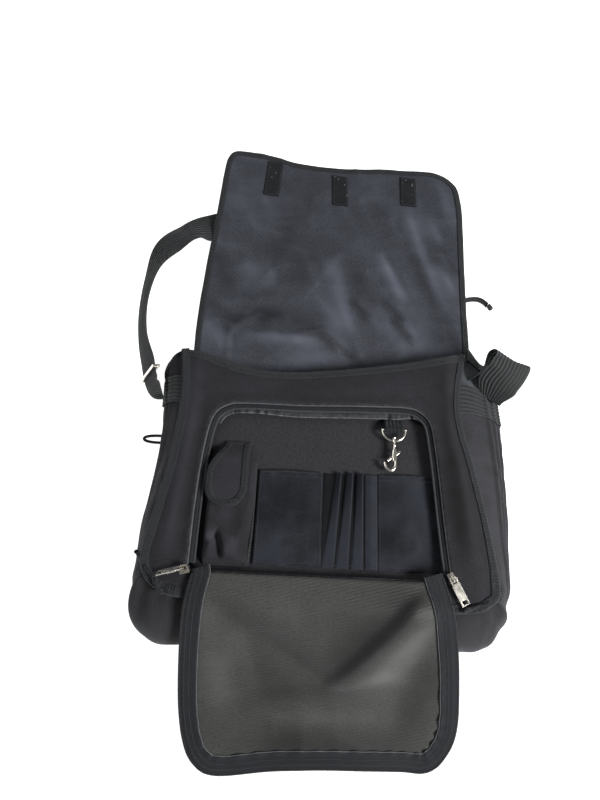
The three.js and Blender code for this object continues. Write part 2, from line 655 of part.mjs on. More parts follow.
// Pockets and pen slots on the organiser panel
function makePhonePocket() {
  const { wide, high, long, sheet } = PHONE;
  const tray = (w, h, l) => {
    const r = PHONE_CORNER;
    const section = new THREE.Shape();
    section.moveTo(-w / 2, 0);
    section.lineTo(w / 2, 0);
    section.lineTo(w / 2, h - r);
    section.absarc(w / 2 - r, h - r, r, 0, Math.PI / 2);
    section.absarc(r - w / 2, h - r, r, Math.PI / 2, Math.PI);
    section.lineTo(-w / 2, 0);
    const geometry = new THREE.ExtrudeGeometry(section, { depth: l, bevelEnabled: false, curveSegments: 3 });
    geometry.rotateX(Math.PI / 2);
    return geometry;
  };
  const inside = tray(wide - 2 * sheet, high - 2 * sheet, long);
  inside.translate(0, sheet, sheet);
  const pocket = cut(tray(wide, high, long), inside);
  pocket.translate(PHONE.x, PHONE.top, GAP);
  add(organiser, 'phone_pocket', pocket, canvas);
  const top = high + 2 * GAP + CLOTH / 2;
  const low = CLOTH / 2 + GAP + 0.1;
  const tongue = (u, v) => {
    const down = TONGUE.long * v;
    const pastRound = Math.max(down - TONGUE.root - TONGUE.roundFrom, 0) / TONGUE.roundLong;
    const round = Math.sqrt(Math.max(1 - pastRound ** 2, 0.03));
    const half = (TONGUE.half + TONGUE.widen * ease(down / 45)) * round;
    const x = TONGUE.x + TONGUE.lean * v + (u - 0.5) * 2 * half;
    return flat(x, TONGUE.root - down, low + (top - low) * ease(down / 26));
  };
  add(organiser, 'phone_flap', wall((u, v) => tongue(1 - u, v), 6, 10, CLOTH), canvas);
}

function cardPocket(name, left, right, material) {
  const surface = (u, v) => {
    const bow = CARD.bow * Math.sin(Math.PI * u) * ease(v / 0.4);
    return flat(left + (right - left) * u, CARD.bottom + CARD.long * v, TAPE / 2 + GAP + bow);
  };
  add(organiser, name, wall(surface, 8, 3, TAPE), material);
}

// Three pleats that stand up as loops and a flat band, in one length of cloth.
function makePenSlots() {
  const { start, pitch, count, high } = PLEATS;
  const floor = TAPE / 2 + GAP;
  const end = start + count * pitch;
  const arch = (x) => [
    [x, floor], [x + 1.2, 3.4], [x + 4, high], [x + 10, high + 0.4], [x + 14.4, 4.2], [x + pitch - 1.4, floor],
  ];
  const section = table(
    ['x', 'z'],
    ...Array.from({ length: count }, (_, i) => arch(start + i * pitch)).flat(),
    [end, floor + 0.9], [end + 7, floor + 1.4], [end + 14, floor],
  );
  const surface = (u, v) => {
    const { x, z } = onLine(section, u);
    return flat(x, CARD.bottom + CARD.long * v, z);
  };
  add(organiser, 'pen_slots', wall(surface, section.length - 1, 1, TAPE), nylon);
}

// Key hook: a webbing tab holds the eye by its bar, and the hook turns in the eye's collar.
function makeKeyTab() {
  const turn = (angle) => [BAR_Y - TAB.bend * Math.cos(angle), AXIS_HEIGHT + TAB.bend * Math.sin(angle)];
  const path = table(
    ['y', 'z'],
    [TAB.top, TAB.low], [66, TAB.low], [59.5, 4],
    ...[-1.45, -0.75, 0, 0.75, 1.45].map(turn),
    [60, AXIS_HEIGHT - 0.1], [66, TAB.high], [TAB.top, TAB.high],
  );
  const surface = (u, v) => {
    const { y, z } = onLine(path, u);
    return flat(KEY_X + (v - 0.5) * TAB.wide, y, z);
  };
  add(organiser, 'key_tab', wall(surface, path.length - 1, 1, TAB.thick), webbing);
}

// The eye, hook and gate are made with the swivel axis along Y and the bar's axis at the origin.
function makeKeyHook() {
  const hook = new THREE.Group();
  hook.position.set(KEY_X, BAR_Y, AXIS_HEIGHT);
  organiser.add(hook);

  const cross = cylinder(EYE.wire, 2 * EYE.radius, 10);
  cross.rotateZ(Math.PI / 2);
  const arc = Array.from({ length: 13 }, (_, i) => {
    const angle = Math.PI + (Math.PI * i) / 12;
    return [EYE.radius * Math.cos(angle), EYE.radius * Math.sin(angle), 0];
  });
  const collar = cylinder(COLLAR.radius, COLLAR.long, 12);
  collar.translate(0, COLLAR.y, 0);
  const bore = cylinder(COLLAR.bore, COLLAR.long + 8, 12);
  bore.translate(0, COLLAR.y, 0);
  const ends = [-1, 1].map((side) => {
    const ball = new THREE.SphereGeometry(EYE.end, 8, 4);
    return ball.translate(side * EYE.radius, 0, 0);
  });
  const eye = join(bar(smoothCurve(arc), EYE.wire, 8, 12), cross, collar, ...ends);
  add(hook, 'key_eye', cut(eye, bore), nickel);

  const headY = COLLAR.y + COLLAR.long / 2 + GAP + NECK.headLong / 2;
  const head = cylinder(NECK.head, NECK.headLong, 12);
  head.translate(0, headY, 0);
  const neckLength = headY - SHAFT.top;
  const neck = cylinder(NECK.radius, neckLength, 12);
  neck.translate(0, headY - neckLength / 2, 0);
  const shaftLength = SHAFT.top - SHAFT.bottom;
  const shaft = new THREE.BoxGeometry(SHAFT.wide, shaftLength, SHAFT.thick);
  shaft.translate(0, SHAFT.top - shaftLength / 2, 0);
  const slot = new THREE.BoxGeometry(SHAFT.wide + 2, SLOT.top - SLOT.bottom, SLOT.thick);
  slot.translate(0, (SLOT.top + SLOT.bottom) / 2, 0);
  const pinHole = cylinder(GATE.pinHole, SHAFT.thick + 2, 12);
  pinHole.rotateX(Math.PI / 2);
  pinHole.translate(0, GATE.pivotY, 0);
  const wire = bar(smoothCurve(HOOK_PATH), HOOK_WIRE, 8, 18);
  const nose = new THREE.SphereGeometry(HOOK_WIRE + 0.1, 8, 6);
  nose.translate(...HOOK_PATH[HOOK_PATH.length - 1]);
  add(hook, 'key_hook', cut(join(head, neck, shaft, wire, nose), slot, pinHole), nickel);

  const [dx, dy] = [GATE_KNOB.x - GATE_TIP.x, GATE_KNOB.y - GATE_TIP.y];
  const leverLength = Math.hypot(dx, dy);
  const lever = new THREE.BoxGeometry(leverLength, GATE.wide, GATE.thick);
  lever.rotateZ(Math.atan2(dy, dx));
  lever.translate(GATE_TIP.x + dx / 2, GATE_TIP.y + dy / 2, 0);
  const pin = cylinder(GATE.pin, SHAFT.thick - 0.4, 10);
  pin.rotateX(Math.PI / 2);
  pin.translate(0, GATE.pivotY, 0);
  const knob = cylinder(GATE.knob, GATE.knobLong, 10);
  knob.rotateX(Math.PI / 2);
  knob.translate(GATE_KNOB.x, GATE_KNOB.y, 0);
  add(hook, 'key_gate', join(lever, pin, knob), nickel);
}

// Strap, its anchors on the gusset and its slider
function strapFrame(t) {
  const row = along(STRAP, t);
  const step = 0.002;
  const [a, b] = [along(STRAP, Math.max(t - step, 0)), along(STRAP, Math.min(t + step, 1))];
  const forward = flat(b.x - a.x, b.y - a.y, b.z - a.z).normalize();
  const wide = flat(row.wideX, row.wideY, row.wideZ);
  wide.addScaledVector(forward, -wide.dot(forward)).normalize();
  const normal = forward.clone().cross(wide);
  const reach = (WEBBING_WIDTH / 2) * Math.abs(wide.z) + (WEBBING / 2) * Math.abs(normal.z);
  return { at: flat(row.x, row.y, Math.max(row.z, reach + GAP)), wide, normal };
}

function makeStrap() {
  const surface = (u, v) => {
    const { at, wide } = strapFrame(u);
    return at.addScaledVector(wide, (v - 0.5) * WEBBING_WIDTH);
  };
  add(bag, 'shoulder_strap', wall(surface, 60, 1, WEBBING), webbing);
  Object.entries(ANCHORS).forEach(([side, { from, to }]) => {
    const lifted = (u, v) => {
      const [s, t] = [(from + (to - from) * u) / LAST_SEAM, 0.1 + 0.81 * v];
      const step = 0.004;
      const alongS = gussetPoint(s + step, t).sub(gussetPoint(s - step, t));
      const alongT = gussetPoint(s, t + step).sub(gussetPoint(s, t - step));
      const out = alongS.cross(alongT).normalize();
      return gussetPoint(s, t).addScaledVector(out, CLOTH / 2 + GAP + WEBBING / 2 + 0.35);
    };
    add(bag, `strap_anchor_${side}`, wall(lifted, 3, 6, WEBBING), webbing);
  });
  const ring = plate(
    rectangle(BUCKLE.wide, BUCKLE.long), [rectangle(BUCKLE.slotWide, BUCKLE.slotLong)], BUCKLE.thick,
  );
  ring.translate(0, 0, -BUCKLE.thick / 2);
  const { at, wide, normal } = strapFrame(STRAP_SLIDER_AT);
  const buckle = add(bag, 'strap_slider', ring, nickel);
  buckle.matrix.makeBasis(wide, normal, wide.clone().cross(normal));
  buckle.quaternion.setFromRotationMatrix(buckle.matrix);
  buckle.position.copy(at);
}

// Cord pulls that show beside the left gusset and the flap
function makeCordPulls() {
  add(bag, 'side_pull_cord', bar(smoothCurve(SIDE_CORD), CORD_DIAMETER / 2, 8, 14), rubber);
  const back = FLAP_CORD.slice().reverse().map(([x, y, z]) => [x - 1.2, y - FLAP_CORD_BACK, z]);
  const loop = smoothCurve([...FLAP_CORD.slice(0, -1), ...back.slice(1)]);
  add(bag, 'flap_pull_cord', bar(loop, CORD_DIAMETER / 2, 8, 18), rubber);
  const end = new THREE.CapsuleGeometry(CORD_END.radius, CORD_END.long - 2 * CORD_END.radius, 3, 8);
  end.rotateZ(CORD_END.turn);
  end.translate(CORD_END.x, CORD_END.y, CORD_END.radius + 0.2);
  add(bag, 'flap_pull_end', end, rubber);
}

makeBody();
makeFlap();
makePocketPanel();
makeOpeningZip();
SLIDERS.forEach(makeSlider);
makePhonePocket();
cardPocket('card_pocket_left', -80, -6, nylon);
makePenSlots();
cardPocket('card_pocket_right', 60.2, 131, nylon);
makeKeyTab();
makeKeyHook();
makeStrap();
makeCordPulls();

export default bag;
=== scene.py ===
import math

import bpy
import numpy as np
from mathutils import Matrix, Vector
from mathutils.geometry import delaunay_2d_cdt


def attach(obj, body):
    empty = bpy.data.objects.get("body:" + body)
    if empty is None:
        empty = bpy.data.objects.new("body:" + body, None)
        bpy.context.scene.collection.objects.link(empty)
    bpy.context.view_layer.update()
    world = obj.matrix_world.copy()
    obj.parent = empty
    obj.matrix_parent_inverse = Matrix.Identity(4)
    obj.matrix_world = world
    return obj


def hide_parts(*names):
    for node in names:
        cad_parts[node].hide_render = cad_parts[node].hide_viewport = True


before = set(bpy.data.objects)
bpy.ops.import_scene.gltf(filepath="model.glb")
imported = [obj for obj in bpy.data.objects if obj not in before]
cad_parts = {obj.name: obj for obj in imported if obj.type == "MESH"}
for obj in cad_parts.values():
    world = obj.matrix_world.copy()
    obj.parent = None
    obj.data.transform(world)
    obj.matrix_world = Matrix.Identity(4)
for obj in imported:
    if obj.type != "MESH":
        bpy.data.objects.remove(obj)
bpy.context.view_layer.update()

MM = 0.001
RIGHT = np.array([1.0, 0.0, 0.0])
UP = np.array([0.0, 0.0, 1.0])

# Camera worked out from the photograph: focal length in its pixels, angles in degrees
PHOTO_HIGH = 800
FOCAL = 601
AZIMUTH = 2.35
PITCH = 74.15
ROLL = 0.24
CAMERA_PLACE = (-28.1, -73.9, 744.8)

# Sizes that the solids have too
CLOTH = 1.6
TAPE = 1.0
WEBBING = 1.8
WEBBING_WIDTH = 48
GAP = 0.4
FRONT_Y = 41
FRONT_Z = 54
FRONT_SLOPE = math.atan2(36, 298)
SEAM_DROP = 5
MOUTH_SAG = 8
ORGANISER_DEPTH = 14
ORGANISER_INSET = 3
POCKET_LOW = -110
POCKET_HIGH = -2
HINGE_Y = -120
KEY_X = 78
BAR_Y = 53
AXIS_HEIGHT = 8.5

# Stitches and the coils of the zips
STITCH_PITCH = 3.1
STITCH_LONG = 2.3
STITCH_RADIUS = 0.34
COIL_PITCH = 1.45
COIL_RADIUS = 1.0
COIL_WIRE = 0.36

# Points in each direction of the noise's lattice
LATTICE = 61

# Seams of the gusset: back x, back y, front x, front y, bulge
SEAMS = np.array([
    [-200, 150, -187, 149, 12], [-200, 100, -180, 85, 10], [-200, 30, -184, 9, 10],
    [-200, -60, -195, -61, 13], [-200, -108, -201, -112, 11], [-188, -142, -183, -138, 26],
    [-140, -150, -140, -148, 18], [0, -150, 0, -152, 11], [140, -150, 145, -150, 10],
    [181, -141, 178, -141, 13], [199, -105, 188, -124, 10], [200, -60, 182, -66, 17],
    [200, 30, 170, 5, 23], [200, 100, 156, 81, 24], [200, 150, 167, 157, 14],
], float)
LAST_SEAM = len(SEAMS) - 1

# Scale of the gusset's creases: length of one row of the table, and width
ROW_LONG = 70
GUSSET_WIDE = 75

# Upper edge of the front panel, and the edge of the zipped opening
MOUTH = np.array([
    [-187, 149], [-157, 142], [-112, 128], [-62, 123], [-1, 128], [86, 140], [132, 149], [167, 157],
], float)
OPENING = np.array([
    [-150, -118], [-150, -60], [-148, 0], [-144, 40], [-137, 63], [-122, 75], [-100, 78], [-30, 78],
    [40, 80], [92, 80], [110, 74], [121, 60], [125, 35], [128, 0], [132, -60], [137, -118],
], float)

# Rucked binding that crosses each bottom corner
CORNERS = [
    np.array([[-213, -62, 46], [-201, -72, 60], [-190, -82, 69], [-174, -104, 73]], float),
    np.array([[200, -91, 46], [187, -94, 60], [168, -101, 69], [147, -107.5, 73]], float),
]

# Flap: free edge, strips (far end, length, lean), strap's swells
FLAP = np.array([
    [-176, 150.4], [-176, 235], [-171, 315], [-162, 400], [-157, 470], [-151, 494], [-136, 501],
    [-95, 497], [-50, 487], [12, 482], [90, 479], [140, 476], [164, 462], [173, 438], [176, 390],
    [176, 315], [176, 235], [175, 150.4],
], float)
STRIPS = [(-91, 488, 56, 4), (7, 470, 48, -2), (102, 467, 46, -1)]
STRIP_WIDTH = 21
STRAP_LIFTS = [(-180, 375, 6), (177, 204, 8.5)]

# Free edge of the pocket panel (x, distance down its drape), and drape (y, z)
PANEL = np.array([
    [-141, 0], [-147, 35], [-151, 90], [-151.5, 145], [-146.5, 186], [-134, 212], [-108, 224], [-45, 217],
    [23, 212], [88, 211], [118, 211], [137, 197], [149, 167], [146.5, 105], [137, 42], [126, 0],
], float)
DRAPE = np.array([
    [-80, 71.3], [-98, 72.4], [-113, 71.8], [-129, 65], [-150, 53], [-180, 36.5], [-212, 22], [-245, 11],
    [-285, 5], [-312, 4.4],
], float)
TAPE_WIDTH = 18

# Phone pocket: the seam beside it, and the right edge, length and straight part of its flap
PHONE_SEAM = [[-84.2, 6], [-83.6, -40], [-84, -80], [-86, -106], [-90, -111]]
TONGUE_RIGHT = -91.5
TONGUE_LONG = 84
TONGUE_STRAIGHT = 60

# Pen pleats: x of the left and right edge, at the bottom and the top; then places across one and heights
PLEAT_EDGES = [((-4.2, 11.5), (9.4, 16)), ((11.6, 23), (25.4, 29.6)), ((29, 35), (42, 41))]
PLEAT_PROFILE = [(0, 0), (0.12, 0.4), (0.4, 0.62), (0.7, 0.84), (0.93, 1.0), (1.0, 0.97), (1.02, 0.7)]

# Key hook: turned collar and head (place on the swivel axis, radius), wire, sections of cheek and lever
COLLAR = [(-16.5, 1.7), (-16.5, 2.6), (-16.1, 3.1), (-15.2, 3.3), (-12.8, 3.3), (-11.9, 3.1), (-11.5, 2.6),
          (-11.5, 1.7), (-16.5, 1.7)]
HEAD = [(-9.5, 0.4), (-9.5, 1.6), (-9.8, 2.3), (-10.4, 2.5), (-11.1, 2.2), (-11.1, 1.25), (-17.0, 1.25),
        (-17.4, 2.0), (-18.2, 2.5), (-20.0, 2.5), (-20.6, 2.1), (-23.5, 2.0), (-25.4, 2.3), (-26.0, 2.4),
        (-26.0, 0.3)]
HOOK_WIRE = np.array([
    [0.5, -37.2, 0], [1, -42, 0], [-0.4, -47.4, 0], [-5, -50.4, 0], [-9.6, -47.4, 0], [-11.4, -42.4, 0],
    [-11.5, -40, 0],
])
CHEEK = np.array([
    [-1, -0.5], [-0.7, -0.56], [0.7, -0.56], [1, -0.5], [1, 0.3], [0.7, 0.56], [-0.7, 0.56], [-1, 0.3],
])
LEVER = np.array([
    [-1, -0.5], [-0.6, -0.75], [0.6, -0.75], [1, -0.5], [1, 0.5], [0.6, 0.75], [-0.6, 0.75], [-1, 0.5],
])

# Strap: middle of the webbing, and the direction across it
STRAP = np.array([
    [-210.2, 135.4, 24.5, 0.05, 0.2, 0.97], [-219, 139, 24.5, 0.3, 0.3, 0.9],
    [-225.5, 150, 24.5, 0.42, 0.25, 0.87], [-231, 169, 24.5, 0.5, 0.1, 0.86],
    [-242, 205, 24.5, 0.45, 0, 0.9], [-246, 250, 24.5, 0.48, 0, 0.88], [-240, 298, 23, 0.6, -0.15, 0.79],
    [-224, 340, 18, 0.76, -0.5, 0.42], [-199, 367, 12, 0.58, -0.66, 0.47],
    [-172, 378, 4, 0.2, -0.95, 0.2], [-125, 386, 1.5, 0, -1, 0], [-40, 371, 1.4, -0.3, -0.95, 0],
    [45, 327, 1.4, -0.55, -0.83, 0], [105, 272, 1.4, -0.6, -0.8, 0], [142, 232, 1.5, -0.58, -0.81, 0],
    [163, 201, 2, -0.6, -0.8, 0], [177, 183, 6, -0.7, -0.66, 0.25], [188, 178, 18, -0.72, -0.56, 0.4],
    [200, 180, 33, -0.84, -0.4, 0.36], [212, 186, 47, -0.9, 0.3, 0.2],
    [217.5, 181, 61, -0.87, 0.48, 0.16], [213, 168, 57, -0.84, 0.48, 0.25],
    [204.5, 156, 45, -0.82, 0.52, 0.05], [198.8, 140.6, 25.8, -0.81, 0.55, -0.2],
], float)

# Cords of the two small zip pulls
CORD_DIAMETER = 3.6
SIDE_CORD = np.array([
    [-203.7, 81.6, 2.4], [-210, 81.8, 2], [-217, 81.7, 2], [-224, 81, 2], [-229, 79.6, 2],
    [-231, 77.4, 2], [-229, 75.2, 2], [-224, 73.8, 2], [-217, 73.1, 2], [-210, 73, 2],
    [-203.7, 73.2, 2.4],
], float)
FLAP_CORD = np.array([
    [172, 284, 5.95], [178, 286.6, 4.3], [185, 289, 2.8], [192, 290.4, 1.9], [199, 289.8, 1.8],
    [205, 286.6, 1.8], [209.5, 282.2, 1.8],
], float)
FLAP_CORD_BACK = np.array([-1.2, -3.6, 0])

# Folds, and streaks of painted light and shade, of the cloth: start, end, width, height or strength,
# steepness of the left
FRONT_FOLDS = [
    ((148, 128), (144, 40), 8, 2.6, 1.6), ((-166, 70), (-176, -80), 7, 2.4),
    ((-150, 66), (-158, -100), 6, -2.8), ((150, 30), (160, -90), 8, 1.8, 1.5),
    ((-100, 100), (60, 104), 10, 1.3),
]
FRONT_PAINTED_STREAKS = [
    ((-166, 118), (-178, -90), 9, 0.6), ((-152, 62), (-160, -112), 7, -0.7),
    ((138, 70), (150, -100), 9, -0.6), ((-120, 86), (100, 88), 6, -0.3),
    ((148, 120), (154, -70), 24, -0.4), ((-176, 130), (-166, 20), 20, 0.45),
]
FLAP_FOLDS = [
    ((90, 420), (166, 315), 12, 1.6, 1.5), ((98, 408), (141, 254), 11, 1.8, 2.2),
    ((63, 348), (110, 217), 9, 1.8, 2.4), ((20, 276), (56, 250), 6, 1.3, 2.0),
    ((69, 273), (106, 222), 5, 1.4, 2.0), ((7, 346), (-38, 279), 10, 1.2, 1.8),
    ((4, 276), (42, 194), 9, 1.8, 2.0), ((-158, 246), (-124, 236), 8, 2.0, 2.0),
    ((-124, 236), (-94, 254), 7, 1.8, 2.0), ((-94, 254), (-51, 223), 8, 2.2, 2.0),
    ((-51, 223), (-13, 233), 7, 1.8, 2.0), ((-13, 233), (11, 205), 8, 1.9, 2.0),
    ((-133, 327), (-99, 300), 7, 0.9, 1.6), ((-99, 300), (-72, 327), 7, 0.9, 1.6),
    ((-134, 240), (-134, 190), 7, 1.7, 2.0), ((-65, 413), (-81, 306), 16, 0.9),
    ((143, 352), (165, 255), 8, 1.1, 1.8), ((40, 190), (130, 172), 9, 1.2, 1.5),
    ((-120, 176), (-40, 170), 9, 1.4, 1.5),
]
FLAP_PAINTED_STREAKS = [
    ((2, 338), (20, 222), 20, 0.42, 1.3), ((64, 345), (97, 282), 10, 0.45, 2.0),
    ((101, 409), (148, 276), 10, 0.36, 1.4), ((135, 397), (161, 328), 8, 0.22, 1.4),
    ((137, 335), (165, 293), 8, 0.3, 1.6), ((53, 258), (144, 203), 22, 0.25),
    ((147, 468), (163, 404), 10, 0.22), ((-139, 431), (-74, 376), 34, 0.2),
    ((-126, 326), (-77, 303), 14, 0.26, 1.2), ((-168, 238), (-134, 208), 13, 0.36, 1.4),
    ((-106, 222), (-20, 216), 8, 0.42, 1.6), ((-81, 196), (26, 193), 16, 0.15),
    ((-53, 417), (-72, 336), 18, -0.2, 1.5), ((-162, 341), (-136, 290), 17, -0.34, 1.2),
    ((-168, 269), (-125, 242), 11, -0.28, 1.4), ((-96, 252), (-18, 234), 15, -0.36),
    ((15, 335), (56, 274), 16, -0.3, 1.2), ((68, 280), (94, 250), 7, -0.42, 1.5),
    ((82, 252), (111, 217), 7, -0.46, 1.5), ((26, 278), (49, 248), 7, -0.36, 1.5),
    ((114, 337), (163, 212), 11, -0.3, 1.4), ((147, 363), (168, 320), 6, -0.32, 1.5),
    ((-18, 227), (40, 191), 6, -0.34, 1.4), ((-116, 253), (-136, 226), 6, -0.3, 1.4),
]
FOLD_CENTRE = (14, 118)
PANEL_FOLDS = [
    ((108, 14), FOLD_CENTRE, 27, 8.5, 4.2), ((-118, 34), FOLD_CENTRE, 13, -2.6),
    ((-75, 152), (20, 157), 13, 2.2), (FOLD_CENTRE, (78, 112), 9, 2.2, 1.6),
    ((-82, 70), (-62, 140), 11, -1.6), ((124, 40), (80, 150), 15, -2.4),
    ((-108, 60), (-118, 165), 16, 1.4),
]
PANEL_PAINTED_STREAKS = [
    ((100, 12), (20, 108), 17, -0.85, 0.45), ((116, 40), (58, 118), 22, 0.42, 1.6),
    ((22, 116), (80, 108), 9, 0.3, 1.4), ((128, 95), (96, 175), 17, -0.42),
    ((-110, 34), (4, 112), 14, -0.3, 0.8), ((-118, 92), (-100, 150), 20, 0.2),
    ((-60, 164), (66, 160), 13, 0.22), ((-70, 192), (110, 188), 20, -0.5),
    ((-124, 30), (-122, 90), 14, 0.14), ((-70, 96), (-30, 140), 18, -0.22),
    ((60, 20), (-10, 90), 20, 0.12), ((-80, 140), (10, 128), 10, -0.2),
]
PHONE_FOLDS = [
    ((-122, -78), (-116, -104), 4.5, -8.0, 1.6), ((-122, -80), (-141, -98), 6, -3.5, 1.5),
    ((-110, -82), (-105, -104), 6, 2.0, 1.5), ((-126, -50), (-100, -72), 10, 1.6),
    ((-130, -84), (-129, -106), 5, 1.6, 1.6),
]
PHONE_PAINTED_STREAKS = [
    ((-131, -88), (-117, -76), 8, 0.9), ((-118, -76), (-112, -104), 5, -1.0, 1.5),
    ((-107, -102), (-101, -84), 6, 0.9), ((-97, -50), (-92, -100), 8, -0.5),
    ((-122, -60), (-104, -66), 10, 0.3),
]


# Curves and surfaces
def along(rows, t):
    """A table's smooth curve at t from 0 to 1."""
    last = len(rows) - 1
    place = np.clip(np.asarray(t, float), 0, 1) * last
    i = np.minimum(place.astype(int), last - 1)
    f = (place - i)[..., None]
    a, b, c, d = (rows[np.clip(i + k, 0, last)] for k in (-1, 0, 1, 2))
    return 0.5 * (2 * b + (c - a) * f + (2 * a - 5 * b + 4 * c - d) * f**2 + (3 * b - a - 3 * c + d) * f**3)


def curve(rows, count, low=0.0, high=1.0):
    return along(rows, np.linspace(low, high, count))


def ease(x):
    x = np.clip(x, 0, 1)
    return x * x * (3 - 2 * x)


def bell(x, at, wide):
    return np.exp(-(((x - at) / wide) ** 2))


def distances(points):
    """How far along a line each of its points lies."""
    return np.concatenate([[0], np.cumsum(np.linalg.norm(np.diff(points, axis=0), axis=1))])


def line_length(points):
    return float(distances(points)[-1])


def even(points, step=None, count=None):
    """The same line, with its points evenly spaced."""
    points = np.asarray(points, float)
    far = distances(points)
    count = count or max(int(round(far[-1] / step)), 2) + 1
    at = np.linspace(0, far[-1], count)
    return np.column_stack([np.interp(at, far, column) for column in points.T])


def closed(line, step):
    """A closed loop of evenly spaced points, without the last one repeated."""
    return even(np.vstack([line, line[:1]]), step)[:-1]


def unit(v):
    return v / np.maximum(np.linalg.norm(v, axis=-1, keepdims=True), 1e-9)


def tangents(points):
    return unit(np.gradient(points, axis=0))


def outward(points):
    """Outward normals of a plane line that goes anticlockwise."""
    t = tangents(points[:, :2])
    return np.column_stack([t[:, 1], -t[:, 0]])


def inset(line, out, distance):
    """x and y of a line moved inwards by a distance, fixed or one for each point."""
    return (line - out * np.reshape(distance, (-1, 1))).T


def circle(sides):
    angle = np.linspace(0, 2 * np.pi, sides, endpoint=False)
    return np.column_stack([np.cos(angle), np.sin(angle)])


def noise(x, y, size, seed):
    """Smooth noise from -1 to 1 with features of the given size."""
    lattice = np.random.default_rng(seed).random((LATTICE, LATTICE))
    gx, gy = np.asarray(x) / size, np.asarray(y) / size
    i, j = np.floor(gx).astype(int), np.floor(gy).astype(int)
    fx, fy = gx - i, gy - j
    fx = fx**3 * (fx * (6 * fx - 15) + 10)
    fy = fy**3 * (fy * (6 * fy - 15) + 10)
    i2, j2 = (i + 1) % LATTICE, (j + 1) % LATTICE
    i, j = i % LATTICE, j % LATTICE
    low = lattice[i, j] * (1 - fx) + lattice[i2, j] * fx
    high = lattice[i, j2] * (1 - fx) + lattice[i2, j2] * fx
    return 2 * (low * (1 - fy) + high * fy) - 1


def ridged(x, y, size, seed):
    """Noise with sharp creases, as in cloth that has been folded."""
    return 1 - 2 * np.abs(noise(x, y, size, seed))


def fold(x, y, start, end, width, high, steep=1.0):
    """A ridge from start to end; steep over 1 makes its left side sharper."""
    dx, dy = end[0] - start[0], end[1] - start[1]
    long = math.hypot(dx, dy)
    a = ((x - start[0]) * dx + (y - start[1]) * dy) / long**2
    d = ((x - start[0]) * dy - (y - start[1]) * dx) / long
    window = ease((a + 0.2) / 0.4) * ease((1.2 - a) / 0.4)
    return high * window * bell(d, 0, np.where(d > 0, width, width / steep))


def folds(x, y, rows):
    return sum(fold(x, y, *row) for row in rows)


def on_front(x, y, z):
    """Points of the front panel's plane in the frame."""
    c, s = math.cos(FRONT_SLOPE), math.sin(FRONT_SLOPE)
    x, y, z = np.broadcast_arrays(np.asarray(x, float), y, z)
    return np.stack([x, FRONT_Y + c * y + s * z, FRONT_Z - s * y + c * z], -1)


def front_way(way):
    """Directions on the front panel's plane, turned into the frame."""
    return on_front(*way.T, 0) - on_front(0, 0, 0)


def on_organiser(x, y, z):
    return on_front(x, y, np.asarray(z) - ORGANISER_DEPTH)


FRONT_UP = on_front(0, 0, 1) - on_front(0, 0, 0)

front_edge = curve(SEAMS, 1401)[:, 2:4]
front_left = front_edge[500::-1]
front_bottom = front_edge[500:901]
front_right = front_edge[900:]
front_mouth = curve(MOUTH, 401)


def front_sides(y):
    """x of the front panel's left and right seam."""
    return [np.interp(y, line[:, 1], line[:, 0]) for line in (front_left, front_right)]


def front_uv(x, y):
    """Place on the front panel, from 0 to 1 across and up it."""
    left, right = front_sides(y)
    bottom = np.interp(x, front_bottom[:, 0], front_bottom[:, 1])
    top = np.interp(x, front_mouth[:, 0], front_mouth[:, 1])
    u = (x - left) / (right - left)
    v = (y - bottom) / (top - bottom)
    return np.clip(u, 0, 1), np.clip(v, 0, 1)


def front_height(x, y):
    """Height of the front panel above its plane, with its soft folds."""
    u, v = front_uv(x, y)
    side = ease(np.minimum(u, 1 - u) / 0.0625) * ease(v / 0.125)
    plain = -SEAM_DROP * (1 - side) - MOUTH_SAG * np.sin(np.pi * u) * ease((v - 0.875) / 0.125)
    soft = folds(x, y, FRONT_FOLDS) + 1.2 * noise(x, y, 55, 3) + 0.45 * noise(x, y, 21, 4)
    return plain + soft * side * ease((1 - v) / 0.1)


def front_painted_shading(x, y):
    """Painted light and shade on the front panel: a pale ridge and a dark valley painted beside the opening.
    """
    return folds(x, y, FRONT_PAINTED_STREAKS) + 0.22 * noise(x, y, 46, 6) + 0.14 * noise(x, y, 12, 7)


def gusset_base(s, t):
    """The gusset without creases: s runs along its seams, t from the back seam to the front one."""
    def middle(q):
        r = along(SEAMS, np.clip(q, 0, 1))
        return (r[:, :2] + on_front(r[:, 2], r[:, 3], 0)[:, :2]) / 2

    row = along(SEAMS, s)
    step = unit(middle(s + 0.002) - middle(s - 0.002))
    out = np.column_stack([step[:, 1], -step[:, 0], np.zeros(len(s))])
    low = np.column_stack([row[:, 0], row[:, 1], np.full(len(s), 1.3)]) + out * (GAP + CLOTH / 2)
    high = on_front(row[:, 2], row[:, 3], -SEAM_DROP - 2 * CLOTH - 3 * GAP) - 1.5 * out
    swell = (row[:, 4] / 0.75)[:, None]
    low_handle = low + out * swell
    low_handle[:, 2] = low[:, 2] + 0.45 * (high[:, 2] - low[:, 2])
    high_handle = high + out * (swell + 4)
    high_handle[:, 2] = high[:, 2] - 5
    t = np.asarray(t)[:, None]
    return ((1 - t) ** 3 * low + 3 * (1 - t) ** 2 * t * low_handle + 3 * (1 - t) * t**2 * high_handle
            + t**3 * high)


